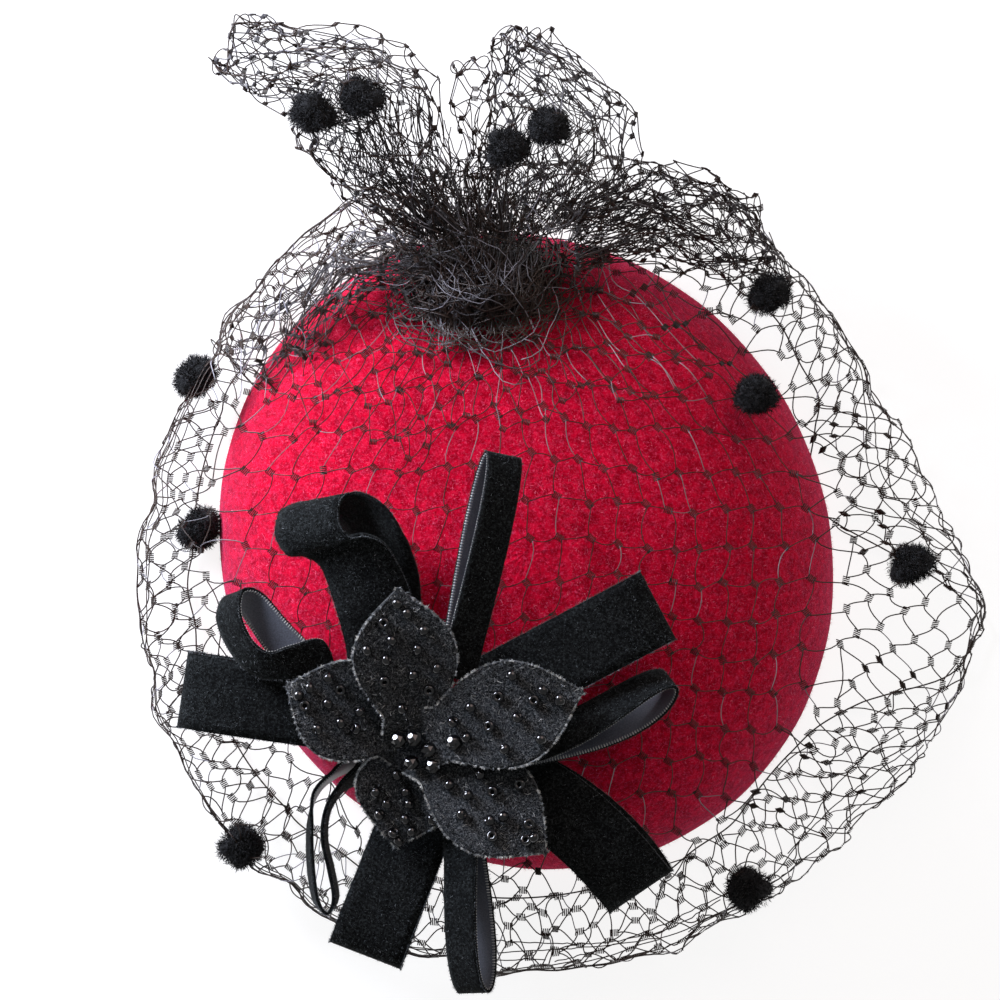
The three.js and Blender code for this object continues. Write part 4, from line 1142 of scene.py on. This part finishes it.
def petalGrid(spec, along=41, across=17):
    u, v = shares(along, across)
    forward, side = heading(spec["heading"]), heading(spec["heading"] + 90)
    middle = np.array([flower["x"], flower["y"], 0.0])
    root = middle + forward * petal["rootRadius"]
    rootZ = flowerPlane(root[0], root[1]) + spec["level"]
    leaf = np.sin(math.pi * u ** spec.get("broadest", petal["broadest"]))
    shape = np.clip(leaf, 0, 1) ** mix(petal["rootFullness"], petal["tipFullness"], u)
    breadth = np.maximum(spec["width"] * shape, mix(petal["rootWidth"], petal["tipWidth"], u))
    cross = (v - 0.5) * 2
    curl = petal["cup"] * cross**2 * shape
    height = mix(rootZ, spec["z"], u) + spec["arch"] * 4 * u * (1 - u) + curl
    height = height + 0.25 * np.sin(9 * u + 3 * cross + spec["heading"]) * shape
    return (middle + forward * mix(petal["rootRadius"], spec["reach"], u)[..., None]
            + side * (cross * breadth / 2)[..., None] + up * height[..., None])


# A seed bead on its stitch: a few stand on end and show the hole, the rest lie tipped over.
def pourSeedBead(batch, place, normal):
    around, tube = 14, 10
    i, j = np.meshgrid(np.arange(around), np.arange(tube), indexing="ij")
    a, b = i * 2 * math.pi / around, j * 2 * math.pi / tube
    ringRadius = (seedBead["radius"] + seedBead["hole"]) / 2
    fat = (seedBead["radius"] - seedBead["hole"]) / 2
    tipped = rng.uniform(0, 0.4) if rng.uniform() < seedBead["upright"] else rng.uniform(1.0, 1.57)
    flat = unit(np.cross(normal, rng.normal(size=3)))
    axis = normal * math.cos(tipped) + flat * math.sin(tipped)
    first = unit(np.cross(axis, flat + normal * 0.3))
    second = np.cross(axis, first)
    seat = seedBead["height"] * abs(math.cos(tipped)) + seedBead["radius"] * abs(math.sin(tipped))
    out = first * np.cos(a)[..., None] + second * np.sin(a)[..., None]
    ring = (place + normal * seat * seedBead["drawnIn"] + out * (ringRadius + fat * np.cos(b))[..., None]
            + axis * (seedBead["height"] * np.sin(b))[..., None])
    i, k, l = i * tube, (i + 1) % around * tube, (j + 1) % tube
    pour(batch, ring, np.stack([i + j, k + j, k + l, i + l], -1).reshape(-1, 4))


def addPetal(name, spec, seeds):
    batch, lint = newBatch(), newBatch()
    grid = petalGrid(spec)
    above, _, normals = pourCloth(batch, grid, petal["thickness"], (0, 0, 1))
    for many, *fibre in petal["fibres"]:
        pourFibres(lint, *scatter(above, normals, many), *fibre)
    middle = grid[:, grid.shape[1] // 2][:, None]
    outward = unit(grid - middle + 1e-6) + normals * 0.7
    for edge in (0, 1):
        for many, *fibre in petal["edgeFibres"]:
            pourFibres(lint, *scatter(above, outward, many, edge, petal["edgeTufts"]), *fibre)
    felts = [charcoalFelt, cutFelt]
    piece, loose, length = addCut(name, spec["node"], grid, batch, lint, felts)
    rows, columns, _ = grid.shape
    for along, across in seedPlaces:
        i = (along + rng.uniform(-0.03, 0.03)) * (rows - 1)
        j = (across + rng.uniform(-0.06, 0.06)) * (columns - 1)
        i0, j0 = int(np.clip(i, 1, rows - 2)), int(np.clip(j, 1, columns - 2))
        pourSeedBead(seeds, above[i0, j0], normals[i0, j0])


seeds = newBatch()
for petalName, petalSpec in petals.items():
    addPetal(petalName, petalSpec, seeds)
addPiece("seedBeads", seeds, [seedGlass], ())

centreBeads = [(-33.8, -49.5), (-29.6, -49.1), (-25.9, -52.1), (-30.4, -55.5), (-24.7, -56.3), (-19.2, -50)]
facetBead = {"radius": 2.25, "level": 14.4, "around": 7, "rows": 5, "lean": (-0.55, 0.49),
             "wobble": 0.12, "cut": 0.98, "ends": 0.78}  # what is left of its radius, and where its ends lie


def ball(lift, turn, radius=1.0):
    flat = np.cos(lift) * radius
    return np.stack([flat * np.cos(turn), flat * np.sin(turn), np.sin(lift) * radius + 0 * turn], -1)


# A round bead ground with flat facets, turned so that one facet looks nearly up.
def addFacetBead(name, node, x, y):
    batch = newBatch()
    rows, around = facetBead["rows"], facetBead["around"]
    lift = np.linspace(-1, 1, rows) * math.pi / 2 * facetBead["ends"]
    turn = (np.arange(around)[None] + 0.5 * (np.arange(rows) % 2)[:, None]) * 2 * math.pi / around
    pole = unit(np.array([*facetBead["lean"], 1.0]) + np.append(rng.normal(size=2) * facetBead["wobble"], 0))
    first = unit(np.cross([0.2, 1.0, 0.0], pole))
    spin = np.stack([first, np.cross(pole, first), pole], 1)
    place = np.array([x, y, flowerPlane(x, y) + facetBead["level"]])
    globe = ball(lift[:, None], turn, facetBead["radius"]).reshape(-1, 3)
    pour(batch, globe @ spin.T * facetBead["cut"] + place, gridFaces(rows, around, True))
    pourFaces(batch, [np.arange(around)[::-1], (rows - 1) * around + np.arange(around)])
    addPiece(name, batch, [facetGlass], [node], smoothShade=False)


for number, (beadX, beadY) in enumerate(centreBeads, 1):
    addFacetBead(f"centreBead{number}", f"centre_bead_{number}", beadX, beadY)
print("flower made")


dotSpec = {"radius": 4.9, "tufts": 3600, "pile": 1.7, "pileWidth": 0.17}
dots = {
    "dotUpperLeft": ("dot_upper_left", -88.5, 46.8, 15),
    "dotLeft": ("dot_left", -87.5, 5.8, 7),
    "dotLowerLeft": ("dot_lower_left", -76, -78.8, 15),
    "dotLowerRight": ("dot_lower_right", 58.7, -89.7, 28),
    "dotRight": ("dot_right", 102, -3.2, 33),
    "dotBackRight": ("dot_back_right", 64.5, 68.6, 31),
    "dotFrontRight": ("dot_front_right", 60.8, 41.5, 41),
    "dotEarLeftOuter": ("dot_ear_left_1", -56.2, 115.4, 66),
    "dotEarLeftInner": ("dot_ear_left_2", -44, 119.6, 66),
    "dotEarRightOuter": ("dot_ear_right_1", -5.4, 106.6, 63),
    "dotEarRightInner": ("dot_ear_right_2", 5.8, 112.1, 65),
}


# A lumpy core of wound chenille under a short dense pile.
def addDot(name, node, x, y, z, seed):
    batch = newBatch()
    rows, around = 15, 24
    lift = np.linspace(-1, 1, rows) * math.pi / 2
    turn = np.arange(around) * 2 * math.pi / around
    way = ball(lift[:, None], turn)
    lumps = (1 + 0.25 * np.sin(2.4 * way[..., 0] + 3 * seed) * np.sin(2.9 * way[..., 1] + 2 * seed)
             + 0.1 * np.sin(5 * way[..., 0] + seed) * np.sin(4 * way[..., 1] + 2 * seed)
             + 0.06 * np.sin(7 * way[..., 2] + 5 * way[..., 0] + seed))
    oval = np.array([1 + 0.1 * math.sin(5 * seed), 1 - 0.1 * math.sin(5 * seed), 0.95])
    place = np.array([x, y, z], float)
    skin = way * oval * (dotSpec["radius"] * lumps)[..., None]
    pour(batch, place + skin, gridFaces(rows, around, True))
    many = dotSpec["tufts"]
    pick = rng.integers(1, rows - 1, many), rng.integers(0, around, many)
    jitter = unit(way[pick] + rng.normal(size=(many, 3)) * 0.25)
    roots = place + jitter * np.linalg.norm(skin[pick], axis=-1, keepdims=True) * 0.95
    pourFibres(batch, roots, jitter, dotSpec["pile"], dotSpec["pileWidth"], 0.8)
    addPiece(name, batch, [chenillePile], [node])


for number, (dotName, (dotNode, dotX, dotY, dotZ)) in enumerate(dots.items()):
    addDot(dotName, dotNode, dotX, dotY, dotZ, 1.3 * number)
print("dots made")

# The comb keeps its own solid.
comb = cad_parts["comb"]
comb.data.materials.clear()
comb.data.materials.append(combAcetate)
